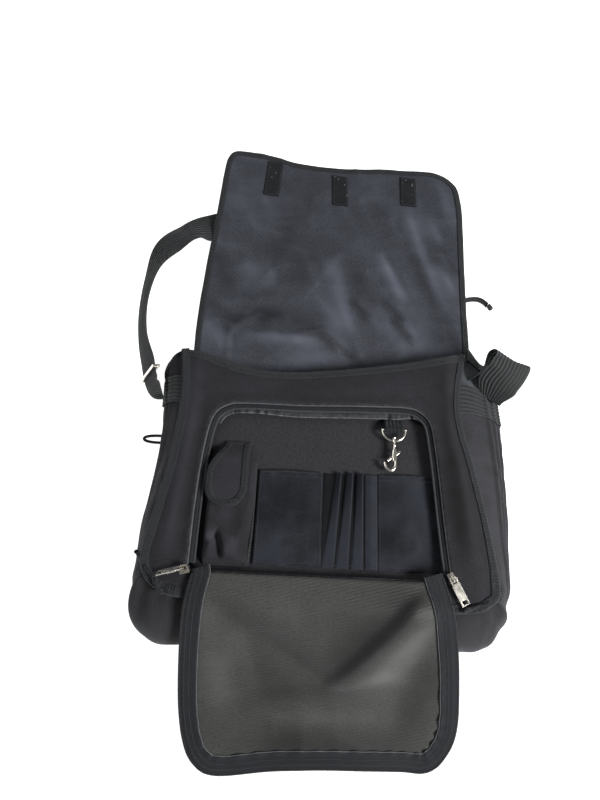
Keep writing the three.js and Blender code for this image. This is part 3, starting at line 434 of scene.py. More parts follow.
def gusset(s, t, lift=0.0):
    """Points of the gusset's cloth, with its creases, lifted off along its normal."""
    e = 0.003
    along_s = gusset_base(np.clip(s + e, 0, 1), t) - gusset_base(np.clip(s - e, 0, 1), t)
    along_t = gusset_base(s, np.clip(t + e, 0, 1)) - gusset_base(s, np.clip(t - e, 0, 1))
    normal = unit(np.cross(along_s, along_t))
    row = s * LAST_SEAM
    far, wide = row * ROW_LONG, t * GUSSET_WIDE
    free = ease(t / 0.2) * ease((1 - t) / 0.15)
    right = ease((row - 9.6) / 0.8) * ease((14 - row) / 0.4)
    left = ease((4.6 - row) / 0.8) * ease(row / 0.4)
    bump = 1.1 * noise(far, wide, 60, 11) + 0.5 * noise(far, wide, 22, 12)
    bump = bump + 0.25 * ridged(far, wide, 30, 13)
    for at, high in ((0.44, 2.2), (0.54, 1.7), (0.63, 2.0)):
        centre = at + 0.05 * np.sin(row * 1.3) + (at - 0.54) * 0.5 * ease((row - 12.4) / 1.2)
        bump = bump + right * high * bell(t, centre, 0.022)
    for at, high in ((0.5, 1.7), (0.6, 1.4)):
        bump = bump + left * high * bell(t, at + 0.03 * np.sin(row), 0.025)
    corner = bell(row, 4.6, 0.5) + bell(row, 9.5, 0.5)
    bump = bump + corner * 1.9 * np.cos(row * 9 + t * 4)
    return gusset_base(s, t) + normal * (bump * free + lift)[:, None]


def flap_height(x, y):
    """The flap without creases: waves, and swells where the strap lies below it."""
    waves = 1.5 * np.sin(0.028 * x + 0.011 * y) + 1.1 * np.sin(0.021 * y - 0.017 * x + 1)
    lift = sum(high * bell(x, a, 45) * bell(y, b, 55) for a, b, high in STRAP_LIFTS)
    return 1.9 + ease((y - 150) / 80) * (5 + waves) + lift


def flap_surface(x, y):
    bump = 1.1 * folds(x, y, FLAP_FOLDS) + 1.5 * ridged(x, y, 60, 21) + 0.8 * ridged(x + 0.4 * y, y, 26, 22)
    return flap_height(x, y) + bump * ease((y - 150) / 30)


def flap_painted_shading(x, y):
    """Painted highlights and shade in streaks on the satin, and painted shade towards the flap's root."""
    soft = 0.13 * noise(x, y, 50, 23) + 0.1 * ridged(x + 0.4 * y, y, 28, 24) + 0.05 * noise(x, y, 9, 25)
    near = 1 - ease((y - 152) / 40)
    return 1.5 * folds(x, y, FLAP_PAINTED_STREAKS) + 1.3 * soft + near * (0.3 * noise(x, y, 16, 26) - 0.45) - 0.02


drape_line = curve(DRAPE, 1009, -0.004, 1.004)
drape_far = distances(drape_line)
drape_turn = tangents(drape_line)


def panel_fold(x, down):
    """Soft folds of the pocket panel, which meet near its middle."""
    across = (x - 10) * 0.62 + (down - 95) * 0.78
    reach = ease((x + 10) / 40) * ease((150 - down) / 60)
    plain = ease((down - 35) / 60) * (1.6 * np.sin(0.035 * x + 0.8) + 2.2 * bell(across, 0, 16) * reach)
    bump = folds(x, down, PANEL_FOLDS) + 1.0 * noise(x, down, 45, 31) + 0.35 * ridged(x, down, 34, 32)
    return plain + bump * ease(down / 30)


# Painted light and shade in streaks along the pocket panel's folds
def panel_painted_shading(x, down):
    soft = 0.1 * noise(x, down, 42, 33) + 0.05 * noise(x, down, 10, 34)
    return 1.15 * folds(x, down, PANEL_PAINTED_STREAKS) + soft - 0.04


def on_panel(x, down, high=0.0):
    """Points of the pocket panel, or above it, at an x and a distance down its drape."""
    x, down, high = np.broadcast_arrays(np.asarray(x, float), np.asarray(down, float), high)
    far = np.clip(down, 0, drape_far[-1])
    y, z = (np.interp(far, drape_far, column) for column in drape_line.T)
    ty, tz = (np.interp(far, drape_far, column) for column in drape_turn.T)
    lift = high + panel_fold(x, down)
    beyond = np.minimum(down, 0)
    return np.stack([x, y + tz * lift + ty * beyond, z - ty * lift + tz * beyond], -1)


# Materials
class Tree:
    """A material's nodes, with short ways to add the usual ones."""

    def __init__(self, name):
        self.material = bpy.data.materials.new(name)
        self.material.use_nodes = True
        self.nodes = self.material.node_tree.nodes
        self.links = self.material.node_tree.links
        self.shader = self.nodes["Principled BSDF"]

    def put(self, socket, value):
        if isinstance(value, bpy.types.NodeSocket):
            self.links.new(value, socket)
        else:
            socket.default_value = value

    def set(self, node, **values):
        for name, value in values.items():
            self.put(node.inputs[name.replace("_", " ")], value)

    def node(self, kind, **values):
        node = self.nodes.new("ShaderNode" + kind)
        self.set(node, **values)
        return node

    def math(self, operation, a, b=0.0, clamp=False):
        node = self.nodes.new("ShaderNodeMath")
        node.operation = operation
        node.use_clamp = clamp
        self.put(node.inputs[0], a)
        self.put(node.inputs[1], b)
        return node.outputs[0]

    def attribute(self, name):
        node = self.nodes.new("ShaderNodeAttribute")
        node.attribute_name = name
        return node.outputs

    def object_place(self):
        return self.nodes.new("ShaderNodeTexCoord").outputs["Object"]

    def noise(self, place, size, detail=2.0, rough=0.5):
        node = self.node("TexNoise", Vector=place, Scale=1 / size, Detail=detail, Roughness=rough)
        return node.outputs["Fac"]

    def specks(self, place, size, radius):
        """1 in small scattered spots, 0 elsewhere."""
        spots = self.node("TexVoronoi", Vector=place, Scale=1 / size).outputs
        tone = self.node("SeparateColor", Color=spots["Color"]).outputs[0]
        near = self.math("LESS_THAN", spots["Distance"], radius)
        return self.math("MULTIPLY", near, self.math("GREATER_THAN", tone, 0.62))

    def span(self, value, low, high, to_low, to_high):
        node = self.node("MapRange", Value=value, From_Min=low, From_Max=high, To_Min=to_low,
                         To_Max=to_high)
        return node.outputs["Result"]

    def mix(self, share, a, b):
        node = self.nodes.new("ShaderNodeMix")
        node.data_type = "RGBA"
        self.put(node.inputs["Factor"], share)
        self.put(node.inputs[6], (*a, 1) if isinstance(a, tuple) else a)
        self.put(node.inputs[7], (*b, 1) if isinstance(b, tuple) else b)
        return node.outputs[2]

    def wave(self, value, pitch):
        return self.math("SINE", self.math("MULTIPLY", value, 2 * math.pi / pitch))

    def bump(self, height, strength, distance):
        node = self.node("Bump", Strength=strength, Distance=distance * MM, Height=height)
        self.links.new(node.outputs["Normal"], self.shader.inputs["Normal"])


def scaled(colour, share, more=0.0):
    return tuple(min(share * c + more, 1) for c in colour)


def weave_height(tree, kind, pitch, place, x, y):
    """Height of a cloth's threads: kind is plain, twill, rib, weave or braid."""
    if kind == "plain":
        return tree.math("MULTIPLY", tree.wave(x, pitch), tree.wave(y, pitch))
    if kind == "twill":
        return tree.wave(tree.math("ADD", x, y), pitch)
    if kind == "rib":
        return tree.math("ADD", tree.wave(y, pitch), tree.math("MULTIPLY", tree.wave(x, 1.1), 0.35))
    if kind == "weave":
        slant = tree.math("ADD", y, tree.math("MULTIPLY", x, 0.28))
        strength = tree.span(tree.noise(place, 14), 0.35, 0.65, 0.1, 1)
        return tree.math("MULTIPLY", tree.wave(slant, pitch), strength)
    zigzag = tree.math("PINGPONG", y, 2.1)
    return tree.wave(tree.math("ADD", x, tree.math("MULTIPLY", zigzag, 0.9)), pitch)


def cloth(name, colour, worn, rough, sheen, kind, pitch, depth, lint=0.0, grain=0.5, groove_shade=0.35, ridge=0.0,
          gloss=0.3):
    """Woven cloth; pitch is the distance between its threads and depth how deep they are."""
    tree = Tree(name)
    place = tree.attribute("flat")["Vector"]
    x, y, wear = tree.node("SeparateXYZ", Vector=place).outputs
    # Painted light and shade, from each piece's own attribute
    painted_shading = tree.attribute("painted_shading")["Fac"]
    height = weave_height(tree, kind, pitch, place, x, y)
    broad = tree.noise(place, 42, 3.0, 0.55)
    threads = tree.noise(place, 1.7, 2.0, 0.6)
    slub = tree.noise(place, 3.2, 2.0, 0.7)
    dark = scaled(colour, 0.68)
    light = scaled(colour, 1.6, 0.003)
    tone = tree.mix(tree.span(broad, 0.3, 0.7, 0, 1), dark, colour)
    tone = tree.mix(tree.span(threads, 0.42, 0.72, 0, 0.55), tone, light)
    tone = tree.mix(tree.span(slub, 0.35, 0.62, 0, grain), tone, light)
    tone = tree.mix(tree.span(slub, 0.36, 0.52, grain, 0), tone, dark)
    # Painted shade in the grooves between the threads
    tone = tree.mix(tree.span(height, -1, 1, groove_shade, 0), tone, dark)
    # Painted highlight on the raised threads, towards the worn colour
    if ridge:
        tone = tree.mix(tree.span(height, 0.1, 1, 0, ridge), tone, worn)
    # Painted light lightens the colour towards 2.6 times itself, painted shade darkens it towards 0.22 times
    tone = tree.mix(tree.span(painted_shading, 0, 1, 0, 1), tone, scaled(colour, 2.6))
    tone = tree.mix(tree.span(painted_shading, -1, 0, 1, 0), tone, scaled(colour, 0.22))
    rubbed = tree.math("MULTIPLY", wear, tree.span(tree.noise(place, 6, 3.0, 0.6), 0.4, 0.7, 0, 0.8), True)
    tone = tree.mix(rubbed, tone, worn)
    if lint:
        tone = tree.mix(tree.math("MULTIPLY", tree.specks(place, 4.5, lint), 0.75), tone, (0.3, 0.3, 0.3))
    roughness = tree.span(tree.math("ADD", broad, threads), 0.6, 1.4, rough - 0.08, rough + 0.08)
    tree.set(tree.shader, Base_Color=tone, Roughness=roughness, Specular_IOR_Level=gloss)
    tree.set(tree.shader, Sheen_Weight=sheen, Sheen_Roughness=0.45, Sheen_Tint=(0.75, 0.78, 0.86, 1))
    tree.bump(tree.math("ADD", height, tree.math("MULTIPLY", threads, 1.6)), 0.55, depth)
    return tree.material


def metal(name, colour, low, high):
    tree = Tree(name)
    place = tree.object_place()
    smudge = tree.noise(place, 0.006, 4.0, 0.6)
    tone = tree.mix(tree.span(smudge, 0.35, 0.7, 0, 1), colour, scaled(colour, 0.88))
    tree.set(tree.shader, Base_Color=tone, Metallic=1.0, Roughness=tree.span(smudge, 0.3, 0.7, low, high))
    tree.bump(tree.noise(place, 0.0007, 3.0, 0.6), 0.12, 0.05)
    return tree.material


def plastic(name, colour, low, high):
    tree = Tree(name)
    grain = tree.noise(tree.object_place(), 0.0012, 3.0, 0.6)
    tone = tree.mix(tree.span(grain, 0.35, 0.7, 0, 1), colour, scaled(colour, 1.5, 0.003))
    roughness = tree.span(grain, 0.3, 0.7, low, high)
    tree.set(tree.shader, Base_Color=tone, Roughness=roughness, Specular_IOR_Level=0.45)
    tree.bump(grain, 0.2, 0.1)
    return tree.material


CANVAS = cloth("canvas", (0.0122, 0.0115, 0.0146), (0.05, 0.05, 0.057), 0.84, 0.1, "plain", 1.15, 0.22,
               lint=0.02)
SIDE = cloth("gusset_canvas", (0.0185, 0.0185, 0.0215), (0.06, 0.06, 0.066), 0.8, 0.14, "twill", 3.4, 0.3,
             lint=0.02)
BACKING = cloth("backing", (0.020, 0.0195, 0.0225), (0.06, 0.06, 0.065), 0.85, 0.1, "plain", 1.0, 0.2,
                lint=0.02)
LINING = cloth("lining", (0.0325, 0.035, 0.044), (0.07, 0.07, 0.08), 0.6, 0.06, "plain", 0.9, 0.07,
               grain=0.35, groove_shade=0.2, gloss=0.2)
MESH = cloth("mesh_lining", (0.037, 0.0372, 0.0350), (0.1, 0.1, 0.095), 0.62, 0.15, "weave", 3.6, 0.2,
             grain=0.35, groove_shade=0.5)
BINDING = cloth("binding", (0.0080, 0.0088, 0.0102), (0.031, 0.034, 0.036), 0.8, 0.1, "braid", 3.4, 0.5,
                groove_shade=0.7, ridge=0.75)
ZIP_TAPE = cloth("zip_tape", (0.0064, 0.0074, 0.0093), (0.04, 0.044, 0.05), 0.8, 0.1, "twill", 2.2, 0.2,
                 grain=0.6)
FACING = cloth("facing", (0.017, 0.0185, 0.0195), (0.06, 0.063, 0.064), 0.75, 0.15, "twill", 1.6, 0.2,
               grain=0.6)
WEB = cloth("webbing", (0.0195, 0.022, 0.0222), (0.056, 0.061, 0.060), 0.74, 0.12, "rib", 4.6, 0.5,
            grain=0.35, groove_shade=0.9, ridge=0.5)
NYLON = cloth("nylon", (0.0085, 0.0095, 0.0130), (0.05, 0.05, 0.058), 0.7, 0.15, "plain", 0.8, 0.08,
              gloss=0.16)
HOOKS = cloth("hook_tape", (0.008, 0.009, 0.011), (0.02, 0.02, 0.022), 0.9, 0.0, "plain", 1.3, 0.5,
              lint=0.16)
# A paler copy of the gusset's cloth, for painted light on the top end of the right gusset
GUSSET_TOP_PAINTED_LIGHT = cloth("gusset_top_painted_light", (0.032, 0.036, 0.041), (0.041, 0.045, 0.05), 0.5, 0.1, "plain", 0.9, 0.1)
PIPING = cloth("piping", (0.060, 0.063, 0.068), (0.16, 0.165, 0.17), 0.7, 0.15, "twill", 1.4, 0.2)
THREAD = cloth("thread", (0.030, 0.032, 0.037), (0.06, 0.06, 0.065), 0.7, 0.2, "twill", 0.8, 0.1)
COIL = plastic("coil", (0.017, 0.018, 0.021), 0.45, 0.6)
PALE_COIL = plastic("opening_coil", (0.050, 0.053, 0.058), 0.45, 0.6)
RUBBER = plastic("moulded_end", (0.012, 0.012, 0.013), 0.4, 0.6)
CORD = cloth("cord", (0.012, 0.012, 0.013), (0.05, 0.05, 0.05), 0.75, 0.2, "braid", 1.0, 0.25)
NICKEL = metal("nickel", (0.80, 0.765, 0.69), 0.16, 0.28)


# Meshes, each as points, faces and the cloth's own coordinates
def add(name, data):
    piece = bpy.data.objects.new(name, data)
    bpy.context.scene.collection.objects.link(piece)
    return piece


def make(name, mesh, material, node=None, body="root", wear=0.0, painted_shading=0.0, thick=0.0, crease=False):
    """A piece from a mesh in millimetres. node is the solid that it replaces, wear how rubbed it is, and
    the painted shading how much painted light (to 1) or painted shade (to -1) it takes."""
    points, faces, flat = mesh
    data = bpy.data.meshes.new(name)
    data.from_pydata((np.asarray(points) * MM).tolist(), [], [list(map(int, f)) for f in faces])
    data.validate()
    data.shade_smooth()
    if crease:
        data.set_sharp_from_angle(angle=math.radians(38))
    places = np.column_stack([flat, np.broadcast_to(wear, len(points))]).astype(np.float32)
    painted_shading_values = np.broadcast_to(np.clip(painted_shading, -1, 1), len(points)).astype(np.float32)
    data.attributes.new("flat", "FLOAT_VECTOR", "POINT").data.foreach_set("vector", places.ravel())
    data.attributes.new("painted_shading", "FLOAT", "POINT").data.foreach_set("value", painted_shading_values)
    data.materials.append(material)
    piece = add(name, data)
    if thick:
        solid = piece.modifiers.new("thickness", "SOLIDIFY")
        solid.thickness = thick * MM
        solid.offset = 0
    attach(piece, body)
    if node:
        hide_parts(node)
    return piece


def bevelled(node, material, body, width):
    """A copy of a hard solid with its edges rounded."""
    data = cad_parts[node].data.copy()
    data.materials.clear()
    data.materials.append(material)
    piece = add(node + "_finished", data)
    weld = piece.modifiers.new("weld", "WELD")
    weld.merge_threshold = 0.00001
    edge = piece.modifiers.new("edges", "BEVEL")
    edge.width = width * MM
    edge.segments = 3
    edge.limit_method = "ANGLE"
    edge.angle_limit = math.radians(35)
    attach(piece, body)
    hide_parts(node)


def grid_faces(across, up, wrap=False):
    i, j = np.meshgrid(np.arange(across), np.arange(up))
    i, j = i.ravel(), j.ravel()
    wide = across if wrap else across + 1
    right = (i + 1) % wide
    return np.column_stack([j * wide + i, j * wide + right, (j + 1) * wide + right, (j + 1) * wide + i])


def grid(across, up):
    u, v = np.meshgrid(np.linspace(0, 1, across + 1), np.linspace(0, 1, up + 1))
    return u.ravel(), v.ravel(), grid_faces(across, up)


def inside(points, loop):
    """Which points lie inside a closed loop."""
    x, y = points[:, 0][:, None], points[:, 1][:, None]
    x1, y1 = loop[:, 0], loop[:, 1]
    x2, y2 = np.roll(x1, -1), np.roll(y1, -1)
    cross = (y1 > y) != (y2 > y)
    at = (x2 - x1) * (y - y1) / np.where(y2 == y1, 1e-9, y2 - y1) + x1
    return (cross & (x < at)).sum(1) % 2 == 1


def edge_distance(points, loop):
    found = np.full(len(points), 1e9)
    for k in range(0, len(points), 4000):
        part = points[k:k + 4000]
        found[k:k + 4000] = np.sqrt(((part[:, None] - loop[None]) ** 2).sum(2).min(1))
    return found


def patch(outline, spacing, hole=None):
    """Triangles that fill an outline, with an even spread of points inside it."""
    loops = [outline] if hole is None else [outline, hole]
    low, high = outline.min(0), outline.max(0)
    rows = []
    for k, y in enumerate(np.arange(low[1], high[1], spacing * 0.866)):
        x = np.arange(low[0] + (k % 2) * spacing / 2, high[0], spacing)
        rows.append(np.column_stack([x, np.full(len(x), y)]))
    points = np.vstack(rows)
    keep = inside(points, outline)
    if hole is not None:
        keep &= ~inside(points, hole)
    edges = []
    start = 0
    for loop in loops:
        keep &= edge_distance(points, loop) > 0.6 * spacing
        ring = list(range(start, start + len(loop)))
        edges += list(zip(ring, ring[1:] + ring[:1]))
        start += len(loop)
    points = np.vstack([*loops, points[keep]])
    result = delaunay_2d_cdt([Vector(p) for p in points.tolist()], edges, [], 1, 1e-5)
    verts = np.array([v[:] for v in result[0]])
    faces = np.array(result[2])
    if hole is not None:
        faces = faces[~inside(verts[faces].mean(1), hole)]
    return verts, faces


def sweep(path, out, up, section):
    """A closed section carried along a path; it may be one section or one for each point."""
    out, up = np.broadcast_to(out, path.shape), np.broadcast_to(up, path.shape)
    section = np.broadcast_to(section, (len(path), *np.shape(section)[-2:]))
    sides = section.shape[1]
    points = path[:, None] + section[:, :, :1] * out[:, None] + section[:, :, 1:] * up[:, None]
    last = (len(path) - 1) * sides
    faces = [tuple(f) for f in grid_faces(sides, len(path) - 1, True)]
    faces += [tuple(range(sides - 1, -1, -1)), tuple(range(last, last + sides))]
    flat = np.stack(np.broadcast_arrays(distances(path)[:, None], distances(section[0])[None]), -1)
    return points.reshape(-1, 3), faces, flat.reshape(-1, 2)


def tape_section(line, thick):
    """Closed section of a tape that follows a line, with softly rounded edges."""
    line = even(line, count=max(9, len(line) * 3))
    t = tangents(line)
    normal = np.column_stack([-t[:, 1], t[:, 0]])
    half = np.full((len(line), 1), thick / 2)
    half[[0, -1]] *= 0.45
    return np.vstack([line + normal * half, (line - normal * half)[::-1]])


def binding(path, out, up, thick, profile):
    """A tape folded over an edge. Its profile lists places across and above the edge, each a number or one
    for every point of the path."""
    places = np.array([[np.broadcast_to(n, len(path)) for n in place] for place in profile])
    return sweep(path, out, up, np.array([tape_section(line, thick) for line in places.transpose(2, 0, 1)]))


def ribbon(lines, far, depths):
    """A tape through several lines of points; far and depths are its cloth coordinates."""
    flat = np.column_stack([np.tile(far, len(lines)), np.repeat(depths, len(far))])
    return np.concatenate(lines), grid_faces(len(far) - 1, len(lines) - 1), flat


def tube(points, radius, sides=10):
    t = tangents(points)
    out = np.zeros_like(t)
    out[0] = unit(np.cross(t[0], UP if abs(t[0][2]) < 0.9 else RIGHT))
    for k in range(1, len(t)):
        out[k] = unit(out[k - 1] - t[k] * np.dot(out[k - 1], t[k]))
    radius = np.broadcast_to(radius, len(points))
    return sweep(points, out, np.cross(t, out), circle(sides) * radius[:, None, None])


def gather(parts):
    """Several meshes as one."""
    points, faces, flats = [], [], []
    count = 0
    for p, f, a in parts:
        points.append(p)
        faces += [tuple(i + count for i in face) for face in f]
        flats.append(a)
        count += len(p)
    return np.vstack(points), faces, np.vstack(flats)


def stitches(path, normal):
    """A row of stitches on a surface."""
    count = max(int(line_length(path) / STITCH_PITCH), 2)
    dense = even(np.column_stack([path, np.broadcast_to(normal, path.shape)]), count=count * 2 + 1)
    at, n = dense[1::2, :3], unit(dense[1::2, 3:])
    t = unit(np.gradient(dense[:, :3], axis=0)[1::2])
    b = np.cross(n, t)
    steps = np.array([-0.5, -0.36, 0.0, 0.36, 0.5]) * STITCH_LONG
    size = np.array([0.3, 0.9, 1.0, 0.9, 0.3]) * STITCH_RADIUS
    ring = circle(6) * [1, 0.8]
    points = (at[:, None, None] + steps[None, :, None, None] * t[:, None, None]
              + (size[:, None] * ring[:, 0])[None, :, :, None] * b[:, None, None]
              + (size[:, None] * ring[:, 1])[None, :, :, None] * n[:, None, None])
    one = [tuple(f) for f in grid_faces(6, 4, True)] + [(5, 4, 3, 2, 1, 0), (24, 25, 26, 27, 28, 29)]
    faces = [tuple(i + k * 30 for i in f) for k in range(count) for f in one]
    angle = np.linspace(0, 2 * np.pi, 6, endpoint=False)
    flat = np.tile(np.column_stack([np.repeat(steps, 6), np.tile(angle, 5)]), (count, 1))
    return points.reshape(-1, 3), faces, flat


def sew(name, rows):
    return make(name, gather(rows), THREAD)


def coil(path, normal):
    """A zip's coil: a spring of stout thread that runs along a path."""
    turns = int(line_length(path) / COIL_PITCH)
    dense = even(np.column_stack([path, np.broadcast_to(normal, path.shape)]), count=turns * 8 + 1)
    at, n = dense[:, :3], unit(dense[:, 3:])
    b = np.cross(tangents(at), n)
    angle = (np.arange(len(at)) * (2 * np.pi / 8))[:, None]
    return tube(at + COIL_RADIUS * (1.25 * np.cos(angle) * b + 0.8 * np.sin(angle) * n), COIL_WIRE, 5)


def web_section(wide, thick):
    """Closed section of ribbed webbing, with soft selvedges."""
    count = max(int(wide / 4.6), 4)
    at = np.linspace(-0.5, 0.5, count * 6 + 1)
    rib = 0.24 * np.cos(at * count * 2 * np.pi)
    half = (thick / 2 - 0.24 + rib) * np.sqrt(np.clip(1 - (np.abs(at) * 2) ** 14, 0.12, 1))
    top = np.column_stack([at * wide, half])
    return np.vstack([top[::-1], top * [1, -1]])


# Camera, lights and floor
def place_camera():
    azimuth, pitch, roll = (math.radians(n) for n in (AZIMUTH, PITCH, ROLL))
    flat = math.cos(pitch)
    forward = Vector((-math.sin(azimuth) * flat, math.cos(azimuth) * flat, -math.sin(pitch)))
    right = forward.cross(Vector((0, 0, 1))).normalized()
    up = right.cross(forward)
    right, up = right * math.cos(roll) + up * math.sin(roll), up * math.cos(roll) - right * math.sin(roll)
    data = bpy.data.cameras.new("camera")
    data.sensor_width = 36
    data.lens = FOCAL * data.sensor_width / PHOTO_HIGH
    camera = add("camera", data)
    turn = Matrix((right, up, -forward)).transposed().to_4x4()
    camera.matrix_world = Matrix.Translation(Vector(CAMERA_PLACE) * MM) @ turn
    bpy.context.scene.camera = camera


def add_light(name, place, size, power):
    data = bpy.data.lights.new(name, "AREA")
    data.shape = "DISK"
    data.size = size
    data.energy = power
    light = add(name, data)
    light.location = place
    light.rotation_euler = (Vector((0, 0.1, 0)) - Vector(place)).to_track_quat("-Z", "Y").to_euler()


def light_stage():
    add_light("key", (1.5, -0.6, 1.5), 0.8, 78)
    add_light("fill", (-1.2, 0.9, 1.9), 1.5, 14)
    world = bpy.data.worlds.new("studio")
    world.use_nodes = True
    world.node_tree.nodes["Background"].inputs["Color"].default_value = (1, 1, 1, 1)
    world.node_tree.nodes["Background"].inputs["Strength"].default_value = 0.2
    bpy.context.scene.world = world
    bpy.context.scene.view_settings.view_transform = "Standard"
    bpy.ops.mesh.primitive_plane_add(size=8, location=(0, 0.1, -0.0003))
    floor = bpy.context.object
    floor.name = "floor"
    tree = Tree("floor_white")
    tree.set(tree.shader, Base_Color=(0.6, 0.6, 0.6, 1), Roughness=0.7, Emission_Color=(1, 1, 1, 1),
             Emission_Strength=1.0)
    floor.data.materials.append(tree.material)


# Cords of the small zip pulls
def make_cord(name, node, rows, count, far_end, **more):
    path = even(curve(rows, 200), count=count)
    cord = make(name, tube(path, CORD_DIAMETER / 2, 12), CORD, node)


def make_cord_end():
    """Moulded end that grips both strands of the flap's pull."""
    turn = 0.5
    axis = np.array([-math.sin(turn), math.cos(turn), 0])
    at = np.array([211.6, 276.8, 3.7])
    far = np.array([-4.5, -4.1, -3.0, -1.0, 1.2, 2.4, 3.4, 4.1, 4.5])
    size = np.array([1.2, 2.4, 3.1, 3.4, 3.3, 3.0, 3.1, 2.7, 1.6])
    return make("flap_pull_grip", tube(at + far[:, None] * axis, size, 16), RUBBER, "flap_pull_end")


def make_cords():
    make_cord("side_pull_loop", "side_pull_cord", SIDE_CORD, 61, "object")
    end = make_cord_end()
    make_cord("flap_pull_strand", "flap_pull_cord", FLAP_CORD, 41, "fitting", with_pieces=[end])
    make_cord("flap_pull_strand_back", None, FLAP_CORD + FLAP_CORD_BACK, 41, "fitting", with_pieces=[end])


# Body of the bag
def make_back():
    line = curve(SEAMS, 600)[:, :2]
    outline = closed(line, 7)
    verts, faces = patch(outline, 9)
    near = edge_distance(verts, closed(line, 2))
    lip = 1.2 * (1 - ease(near / 5))
    top = 3 - lip - 0.3 * ease(near / 8) * (1 + noise(*verts.T, 40, 5))
    count = len(verts)
    points = np.vstack([np.column_stack([verts, top]), np.column_stack([verts, lip])])
    ring = np.arange(len(outline))
    after = np.roll(ring, -1)
    sides = np.column_stack([ring + count, after + count, after, ring])
    faces = [*faces, *(faces[:, ::-1] + count), *sides]
    make("back_cloth", (points, faces, np.vstack([verts, verts])), CANVAS, "back_panel")


def make_gusset():
    u, v, faces = grid(560, 40)
    row = u * LAST_SEAM
    far, wide = row * ROW_LONG, v * GUSSET_WIDE
    low = ease((row - 3.4) / 1.2) * ease((10.6 - row) / 1.2)
    right = ease((row - 9.8) / 0.8) * ease((13.3 - row) / 0.5)
    corner = bell(row, 9.6, 0.6) + bell(row, 4.8, 0.6)
    # Painted shade: darker along the low rows and in the creases at the right end, with a lighter line
    # between the creases, and painted light and shade on the crumpled corners
    painted_shading = 0.1 - 0.62 * low - 0.25 * ease((3.4 - row) / 2) + 0.35 * corner * np.cos(row * 11 + v * 7)
    painted_shading = painted_shading + 0.2 * noise(far, wide, 26, 16) + 0.16 * ridged(far, wide, 18, 17)
    creases = ((0.47, 0.012, -0.6), (0.56, 0.014, -0.6), (0.66, 0.03, -0.6), (0.515, 0.02, 0.25))
    for at, spread, tone in creases:
        painted_shading = painted_shading + tone * right * bell(v, at + 0.05 * np.sin(row * 1.3), spread)
    mesh = (gusset(u, v), faces, np.column_stack([u * 1230, v * 90]))
    body = make("gusset_cloth", mesh, SIDE, "gusset", thick=CLOTH, painted_shading=painted_shading,
                wear=0.6 * (1 - ease(np.minimum(v, 1 - v) / 0.08)))
    # Faces near the top end of the right gusset take the paler copy: painted light
    body.data.materials.append(GUSSET_TOP_PAINTED_LIGHT)
    above = row[faces].mean(1) > LAST_SEAM - 0.62
    body.data.polygons.foreach_set("material_index", above.astype(np.int32))
    t = np.linspace(0.16, 0.97, 60)
    for name, s, size in (("left", 0.004, 2.6), ("right", 0.996, 2.0)):
        path = gusset(np.full(60, s), t, 0.6 + 0.5 * noise(t * 80, 0, 9, 15))
        make(f"gusset_hem_{name}", tube(path, size, 12), BINDING)
    lines = ((9.9, 13.6, 0.49, 0.05, 1.3), (9.9, 13.6, 0.585, 0.05, 1.3), (0.4, 4.2, 0.55, 0.03, 1.0))
    rows = []
    for start, stop, at, sway, turns in lines:
        row = np.linspace(start, stop, 200)
        s, t = row / LAST_SEAM, at + sway * np.sin(row * turns)
        rows.append(stitches(gusset(s, t, CLOTH / 2 + 0.1), unit(gusset(s, t, 3) - gusset(s, t, 0))))
    sew("gusset_stitches", rows)


def make_front():
    edge = curve(OPENING, 400)
    hinge = [[edge[0][0], HINGE_Y], [edge[-1][0], HINGE_Y]]
    hole = closed(np.vstack([hinge[:1], edge, hinge[1:]])[::-1], 3)
    verts, faces = patch(closed(np.vstack([front_edge, front_mouth[::-1]]), 4), 3.6, hole)
    points = on_front(*verts.T, front_height(*verts.T))
    make("front_cloth", (points, faces, verts), CANVAS, "front_panel", thick=CLOTH,
         wear=0.9 * (1 - ease(edge_distance(verts, hole) / 5)), painted_shading=front_painted_shading(*verts.T))
    x, y = even(curve(OPENING, 500, 0.005, 0.995), 2.5).T
    roll = on_front(x, y, front_height(x, y) - 0.2)
    make("opening_rolled_edge", tube(roll, 1.0), PIPING, wear=0.5)


def make_organiser_panel():
    u, v, faces = grid(110, 84)
    y_low = np.interp(u, np.linspace(0, 1, len(front_bottom)), front_bottom[:, 1])
    y_top = np.interp(u, np.linspace(0, 1, len(front_mouth)), front_mouth[:, 1])
    y = (y_low + ORGANISER_INSET) * (1 - v) + (y_top - ORGANISER_INSET) * v
    left, right = front_sides(y)
    x = (left + ORGANISER_INSET) * (1 - u) + (right - ORGANISER_INSET) * u
    inner = ease(np.minimum(u, 1 - u) / 0.1) * ease(v / 0.125) * ease((1 - v) / 0.125)
    under = front_height(x, y) - CLOTH - 2 * GAP
    wave = 0.7 * noise(x, y, 48, 41) + 0.25 * ridged(x, y, 30, 42)
    z = under + (-ORGANISER_DEPTH - CLOTH / 2 - 0.6 + wave - under) * inner
    mesh = (on_front(x, y, z), faces, np.column_stack([x, y]))
    make("organiser_cloth", mesh, BACKING, "organiser_panel", thick=CLOTH)


